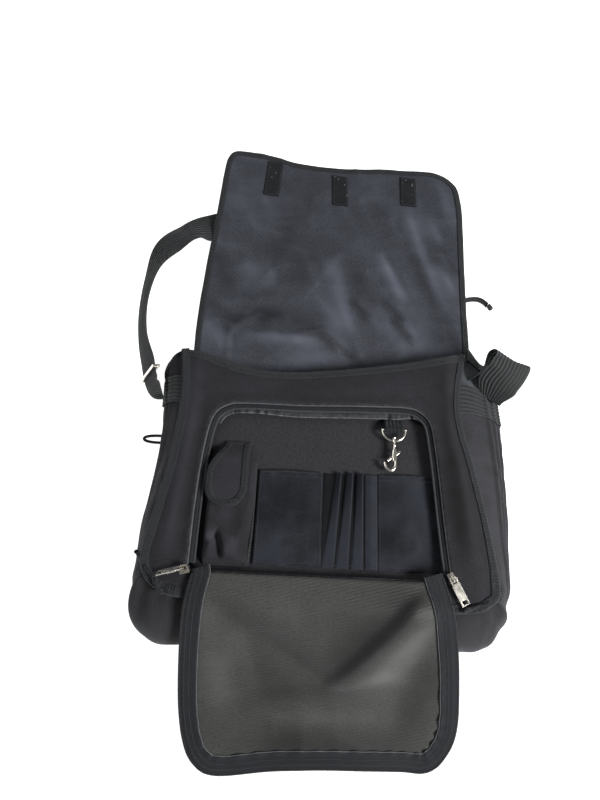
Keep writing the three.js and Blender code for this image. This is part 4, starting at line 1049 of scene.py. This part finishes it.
def make_seam_binding():
    """Tape sewn over the front seam; it is rucked at the two bottom corners."""
    edge = even(front_edge, 2.0)
    out = outward(edge)
    row = np.linspace(0, LAST_SEAM, len(edge))
    far = row * ROW_LONG
    corner = bell(row, 4.8, 0.55) + bell(row, 9.4, 0.6)
    ruck = noise(far, 0, 7, 51) * (0.25 + 1.3 * corner)
    right = ease((row - 9.8) / 1.0)
    wide = 8.2 + 0.5 * noise(far, 9, 16, 52) + 1.5 * corner * noise(far, 0, 9, 53) - 2.4 * right
    inner, half = (front_height(*inset(edge, out, share * wide)) for share in (1, 0.5))
    mesh = binding(on_front(*edge.T, 0), front_way(out), FRONT_UP, TAPE + 0.2, [
        (-wide, inner + 1.35), (-0.5 * wide, half + 1.7 + ruck), (0.4, -SEAM_DROP + 1.9 + ruck),
        (1.9, -SEAM_DROP - 0.4), (1.7, -SEAM_DROP - 5.0), (0.3, -SEAM_DROP - 7.4),
    ])
    sides = len(mesh[0]) // len(edge)
    # Painted shade at the rucked corners, and painted light along the left side and a little on the right
    painted_shading = 0.2 - 0.75 * corner + 0.1 * right + 0.35 * ease((4.4 - row) / 0.6)
    make("seam_binding", mesh, BINDING, "front_binding",
         wear=np.repeat(0.25 + 0.5 * corner, sides), painted_shading=np.repeat(painted_shading, sides))
    rows = []
    for distance in (1.6, 4.9):
        x, y = inset(edge, out, distance)
        high = front_height(x, y) + 2.35 - 0.3 * distance / 8.2 + ruck * 0.7
        rows.append(stitches(on_front(x, y, high), FRONT_UP))
    sew("seam_stitches", rows)


def make_mouth_hem():
    edge = even(front_mouth, 2.5)
    out = -outward(edge)
    low, middle, high = (front_height(*inset(edge, out, distance)) for distance in (9.4, 5, 0))
    mesh = binding(on_front(*edge.T, 0), front_way(out), FRONT_UP, TAPE, [
        (-9.4, low + 1.3), (-5, middle + 1.5), (-0.6, high + 1.6), (1.1, high + 0.2), (1.0, high - 2.4),
        (0.2, high - 3.6),
    ])
    make("mouth_tape", mesh, BINDING, "mouth_hem", wear=0.4)
    rows = []
    for distance in (2.0, 7.8):
        x, y = inset(edge, out, distance)
        rows.append(stitches(on_front(x, y, front_height(x, y) + 2.05), FRONT_UP))
    sew("mouth_stitches", rows)


def make_corner_bindings():
    for number, rows in enumerate(CORNERS):
        path = even(curve(rows, 200), 0.8)
        far = np.arange(len(path)) * 0.8
        path[:, 1] += 1.1 * noise(far, 0, 4, 55 + number)
        path[:, 2] += 0.8 * noise(far, 0, 5, 57 + number)
        size = 2.4 + 0.8 * noise(far, 0, 3, 59 + number)
        # Painted shade darkens the rucked tape
        make(f"corner_binding_{number + 1}", tube(path, size), BINDING, wear=0.5, painted_shading=-0.75)


# Flap
flap_line = curve(FLAP, 1701)


def make_flap():
    left, top, right = flap_line[:501], flap_line[500:1201], flap_line[1200:][::-1]

    def pick(line, t, key):
        """Points of a line, spread evenly in x (key 0) or in y (key 1)."""
        at = line[0][key] + (line[-1][key] - line[0][key]) * t
        other = np.interp(at, line[:, key], line[:, 1 - key])
        return np.column_stack([other, at] if key else [at, other])

    u, v, faces = grid(150, 150)
    u2, v2 = u[:, None], v[:, None]
    chord = top[0] + (top[-1] - top[0]) * u2
    flat = (1 - u2) * pick(left, v, 1) + u2 * pick(right, v, 1) + v2 * (pick(top, u, 0) - chord)
    points = np.column_stack([flat, flap_surface(*flat.T)])
    sheet = make("flap_cloth", (points, faces, flat), LINING, "flap", thick=1.8,
                 painted_shading=flap_painted_shading(*flat.T))
    pieces = [make_flap_binding()] + make_strips()


def make_flap_binding():
    edge = even(flap_line[::-1], 2.2)
    out = outward(edge)
    path = np.column_stack([edge, flap_surface(*edge.T)])
    inner, half = (flap_surface(*inset(edge, out, distance)) - path[:, 2] for distance in (6.2, 3.0))
    ruck = 0.25 * np.sin(np.arange(len(edge)) * 2.2 * 0.9)
    mesh = binding(path, np.column_stack([out, np.zeros(len(out))]), UP, 0.9, [
        (-6.2, inner + 1.35), (-3.0, half + 1.6 + ruck), (0.3, 1.5), (1.6, 0.3), (1.3, -1.3),
        (-3.0, half - 1.5),
    ])
    tape = make("flap_tape", mesh, BINDING, "flap_binding", wear=0.3)
    x, y = inset(edge, out, 4.6)
    row = stitches(np.column_stack([x, y, flap_surface(x, y) + 2.1]), UP)
    sew("flap_stitches", [row]).parent = tape
    return tape


def make_strips():
    pieces = []
    for number, (x, y, long, lean) in enumerate(STRIPS):
        def place(u, v, ragged, lift):
            px = x + lean * v + (u - 0.5) * (STRIP_WIDTH + ragged)
            py = y - long + v * long - 0.12 * (px - x)
            return np.column_stack([px, py, flap_surface(px, py) + 0.9 + GAP + lift])

        u, v, faces = grid(16, 36)
        points = place(u, v, 0.35 * noise(v * long, number * 7, 2.5, 61), 0.6)
        tape = make(f"hook_tape_{number + 1}", (points, faces, points[:, :2]), HOOKS,
                    f"hook_strip_{number + 1}", thick=1.1)
        size = [STRIP_WIDTH, long]
        edge = np.array([[0.08, 0.03], [0.92, 0.03], [0.92, 0.97], [0.08, 0.97], [0.08, 0.03]])
        edge = even(edge * size, 1.5) / size
        row = stitches(place(*edge.T, 0, 1.25), UP)
        pieces += [tape, sew(f"hook_stitches_{number + 1}", [row])]
    return pieces


# Pocket panel and the zip on its edge
panel_line = curve(PANEL, 1501)
panel_zip_line = np.vstack([[[-142, -3]], panel_line, [[123, -10]]])


def panel_out(line):
    """Outward directions on the panel, in x and distance down."""
    return outward(line * [1, -1]) * [1, -1]


def make_pocket_panel():
    verts, faces = patch(closed(panel_line, 4), 3.8)
    sheet = make("pocket_cloth", (on_panel(*verts.T), faces[:, ::-1], verts), MESH,
                 "pocket_panel", thick=CLOTH, painted_shading=panel_painted_shading(*verts.T))
    pieces = make_panel_zip()


def make_panel_zip():
    """Half of the zip, with its tape gathered along the panel's free edge."""
    line = even(panel_zip_line, 1.6)
    out = panel_out(line)
    far = np.arange(len(line)) * 1.6
    share = far / far[-1]
    low = ease((share - 0.24) / 0.08) * ease((0.86 - share) / 0.1)
    corner = bell(share, 0.3, 0.05) + bell(share, 0.7, 0.06)
    gathers = np.sin(far * 0.31 + 3.4 * noise(far, 0, 60, 71)) + 0.35 * noise(far, 0, 14, 72)
    gathers = gathers * (0.1 + 0.75 * low + 0.5 * corner)
    wide = TAPE_WIDTH - 0.5 + 0.5 * gathers
    places = [(d, lift + 0.2 * gathers * max(d, 0) / 13)
              for d, lift in ((-2.7, 0.5), (0.2, 1.3), (4, 1.7), (9, 1.35), (13, 1.75))]
    places += [((wide + 13) / 2, 2.2 + 0.6 * gathers), (wide, 2.3 + 0.7 * gathers)]
    lines = [on_panel(*inset(line, out, d), lift) for d, lift in places]
    depths = np.array([-2.7, 0.2, 4, 9, 13, 15.5, 18])
    points, faces, flat = ribbon(lines, far, depths)
    tape = make("panel_tape", (points, faces[:, ::-1], flat), ZIP_TAPE, "panel_zip_tape",
                thick=0.9, wear=np.repeat(0.2 * (depths > 14), len(far)))
    rim = make("panel_tape_edge", tube(even(lines[-1], 1.2), 0.6, 8), PIPING, wear=0.5)

    def lifted(line, out, distance, level):
        """A line above the panel, and the panel's normals along it."""
        path = on_panel(*inset(line, out, distance), level)
        return path, on_panel(*inset(line, out, distance), level + 1) - path

    rows = [stitches(*lifted(line, out, distance, 2.1)) for distance in (3.4, 9.0)]
    sewing = sew("panel_stitches", rows)
    edge = even(panel_zip_line, 2.0)[3:-3]
    mesh = coil(*lifted(edge, panel_out(edge), -1.9, 1.3))
    teeth = make("panel_coil", mesh, COIL, "panel_zip_chain")
    return [tape, rim, sewing, teeth]


def make_opening_zip():
    edge = even(curve(OPENING, 800, 0.01, 0.99)[::-1], 2.0)
    out = outward(edge)
    lines = []
    for distance, level, give in ((-4.6, -1.75, 0.6), (-1, -1.9, 0.6), (2.5, -2.1, 0.3), (5.2, -2.2, 0.3)):
        x, y = inset(edge, out, distance)
        lines.append(on_front(x, y, level + np.minimum(front_height(x, y) * give, 0)))
    mesh = ribbon(lines, np.arange(len(edge)) * 2.0, [0, 3.6, 7, 9.8])
    make("opening_tape", mesh, ZIP_TAPE, "opening_zip_tape", thick=0.8)
    path = on_front(*inset(edge, out, 6.8), -2.3)
    make("opening_coil", coil(path, FRONT_UP), PALE_COIL, "opening_zip_chain")


def make_facing():
    """Loose tape inside the top of the opening, gathered at its two corners."""
    edge = even(curve(OPENING, 500, 0.24, 0.74)[::-1], 1.5)
    out = outward(edge)
    far = np.arange(len(edge)) * 1.5
    share = far / far[-1]
    corner = bell(share, 0.16, 0.09) + 1.4 * bell(share, 0.8, 0.11)
    gathers = noise(far, 0, 6, 81) * (0.25 + 2.0 * corner) + 0.5 * np.sin(far * 0.8) * corner
    taper = (0.4 + 0.6 * ease(share / 0.2)) * (1 - 0.2 * ease((share - 0.6) / 0.2))
    depths = (-2.5, 4, 9, 13.5)
    lines = []
    for d, level in zip(depths, (-3.4, -4.8, -5.6, -5.9)):
        reach = (d + 0.7 * gathers * (d > 5)) * (taper if d > 0 else 1)
        lines.append(on_front(*inset(edge, out, reach), level + gathers * max(d, 0) / 9))
    make("opening_loose_tape", ribbon(lines, far, depths), FACING, "opening_facing", thick=0.8,
         wear=np.repeat([0, 0.3, 0.6, 1.0], len(far)))
    edges = [tube(lines[k] + 0.7 * FRONT_UP, size, 8) for k, size in ((1, 0.6), (3, 0.75))]
    make("opening_tape_edges", gather(edges), PIPING, wear=0.9)


# Organiser pockets
def make_phone_pocket():
    middle, top, wide, high, long = -109.5, 4.0, 51.0, 16.0, 116.0
    corner, low = 5.0, 0.6
    arc = np.linspace(0, np.pi / 2, 9)
    bend = [-wide / 2, high] + corner * np.column_stack([1 - np.cos(arc), np.sin(arc) - 1])
    half = np.vstack([[[-wide / 2, low], [-wide / 2, 5]], bend])
    sx, sz = even(np.vstack([half, half[::-1] * [-1, 1]]), count=71).T
    v = np.linspace(0, 1, 91)[:, None]
    y = np.broadcast_to(top - long * v, (len(v), len(sx)))
    narrow = 15 * ease((-36 - y) / 62) * np.clip(sx / (wide / 2), 0, 1) * np.clip(sz / high, 0, 1)
    x = middle + sx - narrow
    dent = folds(x, y, PHONE_FOLDS) + 0.9 * noise(x, y, 18, 91) + 0.5 * ridged(x, y, 15, 92)
    dent = (dent - 1.5 * ease((-70 - y) / 40)) * ease((sz - 6) / 6)
    z = np.clip(low + (sz - low) * (0.25 + 0.75 * ease((1 - v) / 0.06)) + dent, low, high + 0.6)
    # The last row closes the bottom of the pocket
    x, y = np.vstack([x, x[-1:]]), np.vstack([y, y[-1:]])
    z = np.vstack([z, np.full((1, len(sx)), low)])
    down = y.copy()
    down[-1] -= 3
    flat = np.column_stack([np.tile(np.linspace(0, 78, len(sx)), len(y)), down.ravel()])
    x, y, z = x.ravel(), y.ravel(), z.ravel()
    mesh = (on_organiser(x, y, GAP + z), grid_faces(len(sx) - 1, len(v))[:, ::-1], flat)
    # Painted light and shade on the pocket's folds
    make("phone_cloth", mesh, CANVAS, "phone_pocket", thick=1.3,
         painted_shading=folds(x, y, PHONE_PAINTED_STREAKS) + 0.15 * noise(x, y, 14, 93))
    x, y = even(PHONE_SEAM, 2).T
    path = on_organiser(x, y, 3.4 + 0.4 * np.sin(y * 0.2))
    make("phone_seam", tube(path, 1.5, 8), BINDING, wear=0.8)


def tongue_half(down):
    """Half the width of the phone pocket's flap, before its end is rounded off."""
    return 15 + 9 * ease(down / 45)


def tongue_place(across, down, lift=0.0):
    """A place on the phone pocket's flap: across from -1 to 1, down in millimetres from its root."""
    top = 16 + 2 * GAP + 0.8
    low = 1.3
    past = np.maximum(down - TONGUE_STRAIGHT, 0) / (TONGUE_LONG - TONGUE_STRAIGHT)
    x = TONGUE_RIGHT - tongue_half(down) * (1 - across * np.sqrt(np.maximum(1 - past**2, 0.02)))
    bow = 0.9 * (1 - across**2) * ease(down / 30)
    rise = low + (top - low) * ease(down / 26)
    return on_organiser(x, 32 - down, rise + bow + lift)


def make_phone_flap():
    u, v, faces = grid(36, 72)
    across, down = 2 * u - 1, TONGUE_LONG * v
    flat = np.column_stack([across * 22, -down])
    # Painted light on the raised face of the flap
    make("phone_tongue", (tongue_place(across, down), faces[:, ::-1], flat), CANVAS, "phone_flap",
         thick=1.5, painted_shading=0.22 + 0.12 * noise(*flat.T, 12, 94))
    angle = np.linspace(0, np.pi, 160)
    side = np.linspace(2, TONGUE_STRAIGHT, 50)[:-1]
    across = np.concatenate([np.full(len(side), -1.0), -np.cos(angle), np.full(len(side), 1.0)])
    down = np.concatenate([side, TONGUE_STRAIGHT + 23.4 * np.sin(angle), side[::-1]])
    rim = even(np.column_stack([across * tongue_half(down), -down]), 1.8)

    def inward(distance, lift):
        """The rim moved towards the middle of the tongue, and lifted."""
        x, y = inset(rim, outward(rim), distance)
        past = np.clip(-y - TONGUE_STRAIGHT, 0, 23.6) / (TONGUE_LONG - TONGUE_STRAIGHT)
        half = tongue_half(-y) * np.sqrt(1 - past**2)
        return tongue_place(np.clip(x / half, -1, 1), np.clip(-y, 0, TONGUE_LONG), lift)

    lines = [inward(*place) for place in ((0.0, 0.2), (0.6, 1.4), (3.5, 1.7), (7.0, 1.6), (7.8, 0.9))]
    mesh = ribbon(lines, np.arange(len(rim)) * 1.8, [0, 1, 3.5, 7, 8])
    # Painted shade darkens the flap's binding
    make("phone_tongue_tape", mesh, BINDING, thick=0.7, wear=0.3, painted_shading=-0.3)
    sew("phone_stitches", [stitches(inward(distance, 2.1), FRONT_UP) for distance in (2.0, 6.2)])


def make_card_pocket(name, node, left, right, seed):
    floor = TAPE / 2 + GAP

    def bow(x, y):
        return 3 * np.sin(np.pi * (x - left) / (right - left)) * ease((y - POCKET_LOW) / 43.2)

    u, v, faces = grid(48, 64)
    x = left + (right - left) * u
    y = POCKET_LOW + (POCKET_HIGH - POCKET_LOW) * v
    creases = (((left + 8, -90), (left + 46, -44), 9, 1.0), ((right - 6, -22), (right - 34, -88), 8, 1.0))
    soft = folds(x, y, creases) + 0.7 * noise(x, y, 24, seed) + 0.3 * ridged(x, y, 17, seed + 1)
    soft = soft * np.sin(np.pi * u) * ease(v / 0.2)
    rim = 1 - ease((np.minimum(POCKET_HIGH - y, y - POCKET_LOW) - 4) / 4)
    # Painted light and shade: soft patches of sheen on the nylon, and crumpled light and dark near its top
    # and bottom edges
    painted_shading = 0.5 * noise(x, y, 26, seed + 2) + 0.2 * ridged(x, y, 14, seed + 3)
    mesh = (on_organiser(x, y, floor + np.maximum(bow(x, y) + soft, 0)), faces, np.column_stack([x, y]))
    make(name, mesh, NYLON, node, thick=0.9, painted_shading=painted_shading + 0.5 * rim * noise(x, y, 5, seed + 4))
    hem = np.linspace(left + 1.2, right - 1.2, 60)
    path = on_organiser(hem, -2.4, floor + bow(hem, -2.4) + 0.45)
    make(name + "_hem", tube(path, 1.0, 8), NYLON, wear=0.5)
    side = np.linspace(-108, -4, 60)
    lines = [on_organiser(hem, -8.0, floor + bow(hem, -8.0) + 0.9), on_organiser(hem, -106.5, 1.9)]
    lines += [on_organiser(at, side, floor + bow(at, side) + 0.8) for at in (left + 2.2, right - 2.2)]
    sew(name + "_stitches", [stitches(line, FRONT_UP) for line in lines])


def make_pen_slots():
    v = np.linspace(0, 1, 61)
    floor = TAPE / 2 + GAP
    tall = 1.4 + 6.0 * ease(v / 0.9)
    pleats = [[bottom + (top - bottom) * v for bottom, top in edges] for edges in PLEAT_EDGES]
    columns = [(-5.0, floor)]
    for start, edge in pleats:
        columns += [(start + (edge - start) * at, floor + tall * share) for at, share in PLEAT_PROFILE]
        columns += [(edge - 0.5, floor + 0.12 * tall), (edge + 0.9, floor)]
    columns += [(45, floor + 0.8), (51, floor + 1.5), (58.4, floor + 0.1)]
    columns = np.array([[np.broadcast_to(n, len(v)) for n in column] for column in columns])
    coarse, fine = np.linspace(0, 1, len(columns)), np.linspace(0, 1, 121)
    x, z = (np.stack([np.interp(fine, coarse, row) for row in columns[:, k].T]) for k in (0, 1))
    y = np.broadcast_to((POCKET_LOW + (POCKET_HIGH - POCKET_LOW) * v)[:, None], x.shape)
    z = z + 0.25 * noise(x, y, 20, 95) * ease((z - 1.2) / 2)
    # Painted light on the pleats, brightest at their right edges, and on the flat band; painted shade in the
    # gaps between pleats
    painted_shading = np.where(x > 44.5, 0.5, -0.95)
    for start, edge in pleats:
        on = ease((x - start[:, None] + 0.6) / 1.2) * ease((edge[:, None] + 0.6 - x) / 1.2)
        painted_shading = painted_shading * (1 - on) + on * (0.65 + 0.35 * ease((x - edge[:, None] + 3) / 3))
    painted_shading = painted_shading + 0.15 * noise(x, y, 9, 96)
    flat = np.column_stack([np.tile(fine * 90, len(v)), y.ravel()])
    mesh = (on_organiser(x.ravel(), y.ravel(), z.ravel()), grid_faces(120, 60), flat)
    # wear here is a painted highlight on the pleats' raised tops
    make("pen_pleats", mesh, NYLON, "pen_slots", thick=0.8, painted_shading=painted_shading.ravel(),
         wear=0.2 * ease((z.ravel() - 4.5) / 2))
    sew("pen_stitches", [stitches(on_organiser(np.linspace(-3, 57, 40), -107, 3.2), FRONT_UP)])


# Key hook
def make_key_tab():
    turn = np.linspace(-1.5, 1.5, 13)
    bend = np.column_stack([BAR_Y - 2.9 * np.cos(turn), AXIS_HEIGHT + 2.9 * np.sin(turn)])
    line = even(np.vstack([[[81, 1.3], [72, 1.3], [66, 1.4], [61, 3.2], [57, 5.0]], bend,
                           [[57, 10.4], [60, 8.6], [63, 6.0], [66, 4.0], [72, 3.7], [81, 3.7]]]), 1.0)
    path = on_organiser(KEY_X, *line.T)
    mesh = sweep(path, RIGHT, unit(np.cross(RIGHT, tangents(path))), web_section(23, 1.4))
    # Painted shade darkens the tab, and bands of painted light and shade across it stand for its ribs
    painted_rib_shading = -0.55 + 0.35 * np.sin(mesh[2][:, 0] * 2.6)
    make("key_webbing", mesh, BINDING, "key_tab", painted_shading=painted_rib_shading)
    across = np.linspace(KEY_X - 10, KEY_X + 10, 30)
    rows = [stitches(on_organiser(across, at, 4.75), FRONT_UP) for at in (69.5, 74)]
    sew("key_stitches", rows)


def hook_point(x, y, z):
    """A place on the key hook, measured from the middle of the eye's bar."""
    return on_organiser(KEY_X + np.asarray(x, float), BAR_Y + np.asarray(y, float),
                        AXIS_HEIGHT + np.asarray(z, float))


def lathe_on_axis(profile):
    """A turned piece on the swivel axis, from its distances along it and radii."""
    far, radius = np.array(profile[::-1]).T
    return sweep(hook_point(0, far, 0), RIGHT, FRONT_UP, circle(20) * radius[:, None, None])


def make_hook_eye():
    angle = np.linspace(np.pi, 2 * np.pi, 61)
    arc = tube(hook_point(14 * np.cos(angle), 14 * np.sin(angle), 0), 1.5, 14)
    bar = tube(hook_point(np.linspace(-14.6, 14.6, 40), 0, 0), 1.4, 14)
    share = np.linspace(-1, 1, 13)
    swell = 1.75 * np.sqrt(np.maximum(1 - share**2, 0.03))
    knobs = [tube(hook_point(at + 1.9 * share, 0, 0), swell, 12) for at in (-14, 14)]
    points, faces, flat = lathe_on_axis(COLLAR)
    open_collar = (points, faces[:-2], flat)
    mesh = gather([arc, bar, *knobs, open_collar])
    make("hook_eye", mesh, NICKEL, "key_eye", "eye", crease=True)


def make_hook_body():
    y = np.linspace(-25.2, -38.6, 30)
    half = 1.9 + 0.6 * np.sin(np.pi * np.clip((-y - 25.2) / 13.4, 0, 1))
    cheeks = []
    for side in (-1, 1):
        section = CHEEK * np.column_stack([half, np.full(30, side)])[:, None]
        cheeks.append(sweep(hook_point(0, y, side * 1.72), RIGHT, FRONT_UP, section[:, ::side]))
    size = np.interp(np.linspace(0, 1, 90), [0, 0.1, 0.5, 0.93, 0.97, 1], [2.2, 2.05, 2.05, 2.0, 1.7, 0.9])
    wire = tube(hook_point(*curve(HOOK_WIRE, 90).T), size, 14)
    mesh = gather([lathe_on_axis(HEAD), *cheeks, wire])
    make("hook_body", mesh, NICKEL, "key_hook", "hook", crease=True)


def make_hook_gate():
    tip, knob = np.array([-8.4, -38.2]), np.array([6.0, -27.6])
    f = np.linspace(0, 1, 30)
    path = hook_point(*(tip + (knob - tip) * f[:, None]).T, 0)
    section = LEVER * np.column_stack([1.15 + 0.25 * np.sin(np.pi * f), np.ones(30)])[:, None]
    lever = sweep(path, unit(np.cross(tangents(path), FRONT_UP)), FRONT_UP, section)
    thumb = tube(hook_point(*knob, [-2.0, -1.9, -1.4, 1.4, 1.9, 2.0]), [0.8, 1.3, 1.6, 1.6, 1.3, 0.8], 14)
    pin = tube(hook_point(0, -31.5, [-2.1, -2.0, 2.0, 2.1]), [0.6, 0.9, 0.9, 0.6], 12)
    make("hook_gate", gather([lever, thumb, pin]), NICKEL, "key_gate", "gate", crease=True)


# Strap and the bands that hold it
def make_strap():
    t = np.linspace(0, 1, 421)
    row = along(STRAP, t)
    path = row[:, :3]
    forward = tangents(path)
    wide = row[:, 3:]
    wide = unit(wide - forward * (wide * forward).sum(1, keepdims=True))
    normal = np.cross(forward, wide)
    reach = WEBBING_WIDTH / 2 * np.abs(wide[:, 2]) + WEBBING / 2 * np.abs(normal[:, 2])
    path[:, 2] = np.maximum(path[:, 2], reach + GAP)
    section = web_section(WEBBING_WIDTH, WEBBING)
    pinch = 1 - 0.38 * ease((t - 0.96) / 0.035)
    mesh = sweep(path, wide, normal, section * np.column_stack([pinch, np.ones(len(t))])[:, None])
    # Painted shade darkens the strap towards its left end
    make("strap_webbing", mesh, WEB, "shoulder_strap",
         wear=0.7 * np.tile(ease((np.abs(section[:, 0]) - 21.5) / 2.5), len(path)),
         painted_shading=np.repeat(-0.75 * ease((0.45 - t) / 0.1), len(section)))


def make_anchor(side, start, stop, skew, tone):
    def place(u, v, lift):
        s = (start + (stop - start) * u + skew * (1 - v)) / LAST_SEAM
        return gusset(s, 0.1 + 0.87 * v, lift)

    u, v, faces = grid(84, 60)
    rib = 0.3 * np.cos(u * 7 * 2 * np.pi)
    points = place(u, v, CLOTH / 2 + GAP + WEBBING / 2 + 0.35 + rib)
    # Painted shade in the grooves between the ribs; tone adds painted light over the whole band
    make(f"anchor_{side}", (points, faces, np.column_stack([v * 70, u * 32.2])), WEB,
         f"strap_anchor_{side}", thick=1.5, wear=0.6 * ease((np.abs(u - 0.5) - 0.42) / 0.08),
         painted_shading=tone - 0.5 * (rib < -0.1))
    u = np.linspace(0.06, 0.94, 40)
    rows = []
    for at in (0.07, 0.15, 0.84, 0.92):
        v = np.full(40, at)
        line = place(u, v, CLOTH / 2 + GAP + WEBBING + 0.5)
        rows.append(stitches(line, unit(place(u, v, 5) - place(u, v, 0))))
    sew(f"anchor_stitches_{side}", rows)


place_camera()
light_stage()
make_cords()
make_back()
make_gusset()
make_front()
make_organiser_panel()
make_seam_binding()
make_mouth_hem()
make_corner_bindings()
make_strap()
# The left band gets more painted light over its whole face
make_anchor("left", 0.62, 1.12, -0.42, 0.5)
make_anchor("right", LAST_SEAM - 1.02, LAST_SEAM - 0.55, 0.12, 0.1)
make_flap()
make_pocket_panel()
make_opening_zip()
make_facing()
make_phone_pocket()
make_phone_flap()
make_card_pocket("card_left", "card_pocket_left", -80.6, -4.8, 101)
make_card_pocket("card_right", "card_pocket_right", 58.6, 131.2, 111)
make_pen_slots()
make_key_tab()
make_hook_eye()
make_hook_body()
make_hook_gate()
bevelled("strap_slider", NICKEL, "root", 0.8)
for side in ("left", "right"):
    bevelled(f"zip_slider_{side}", NICKEL, "root", 0.35)
    bevelled(f"zip_pull_{side}", NICKEL, f"pull_{side}", 0.3)

bpy.context.view_layer.update()
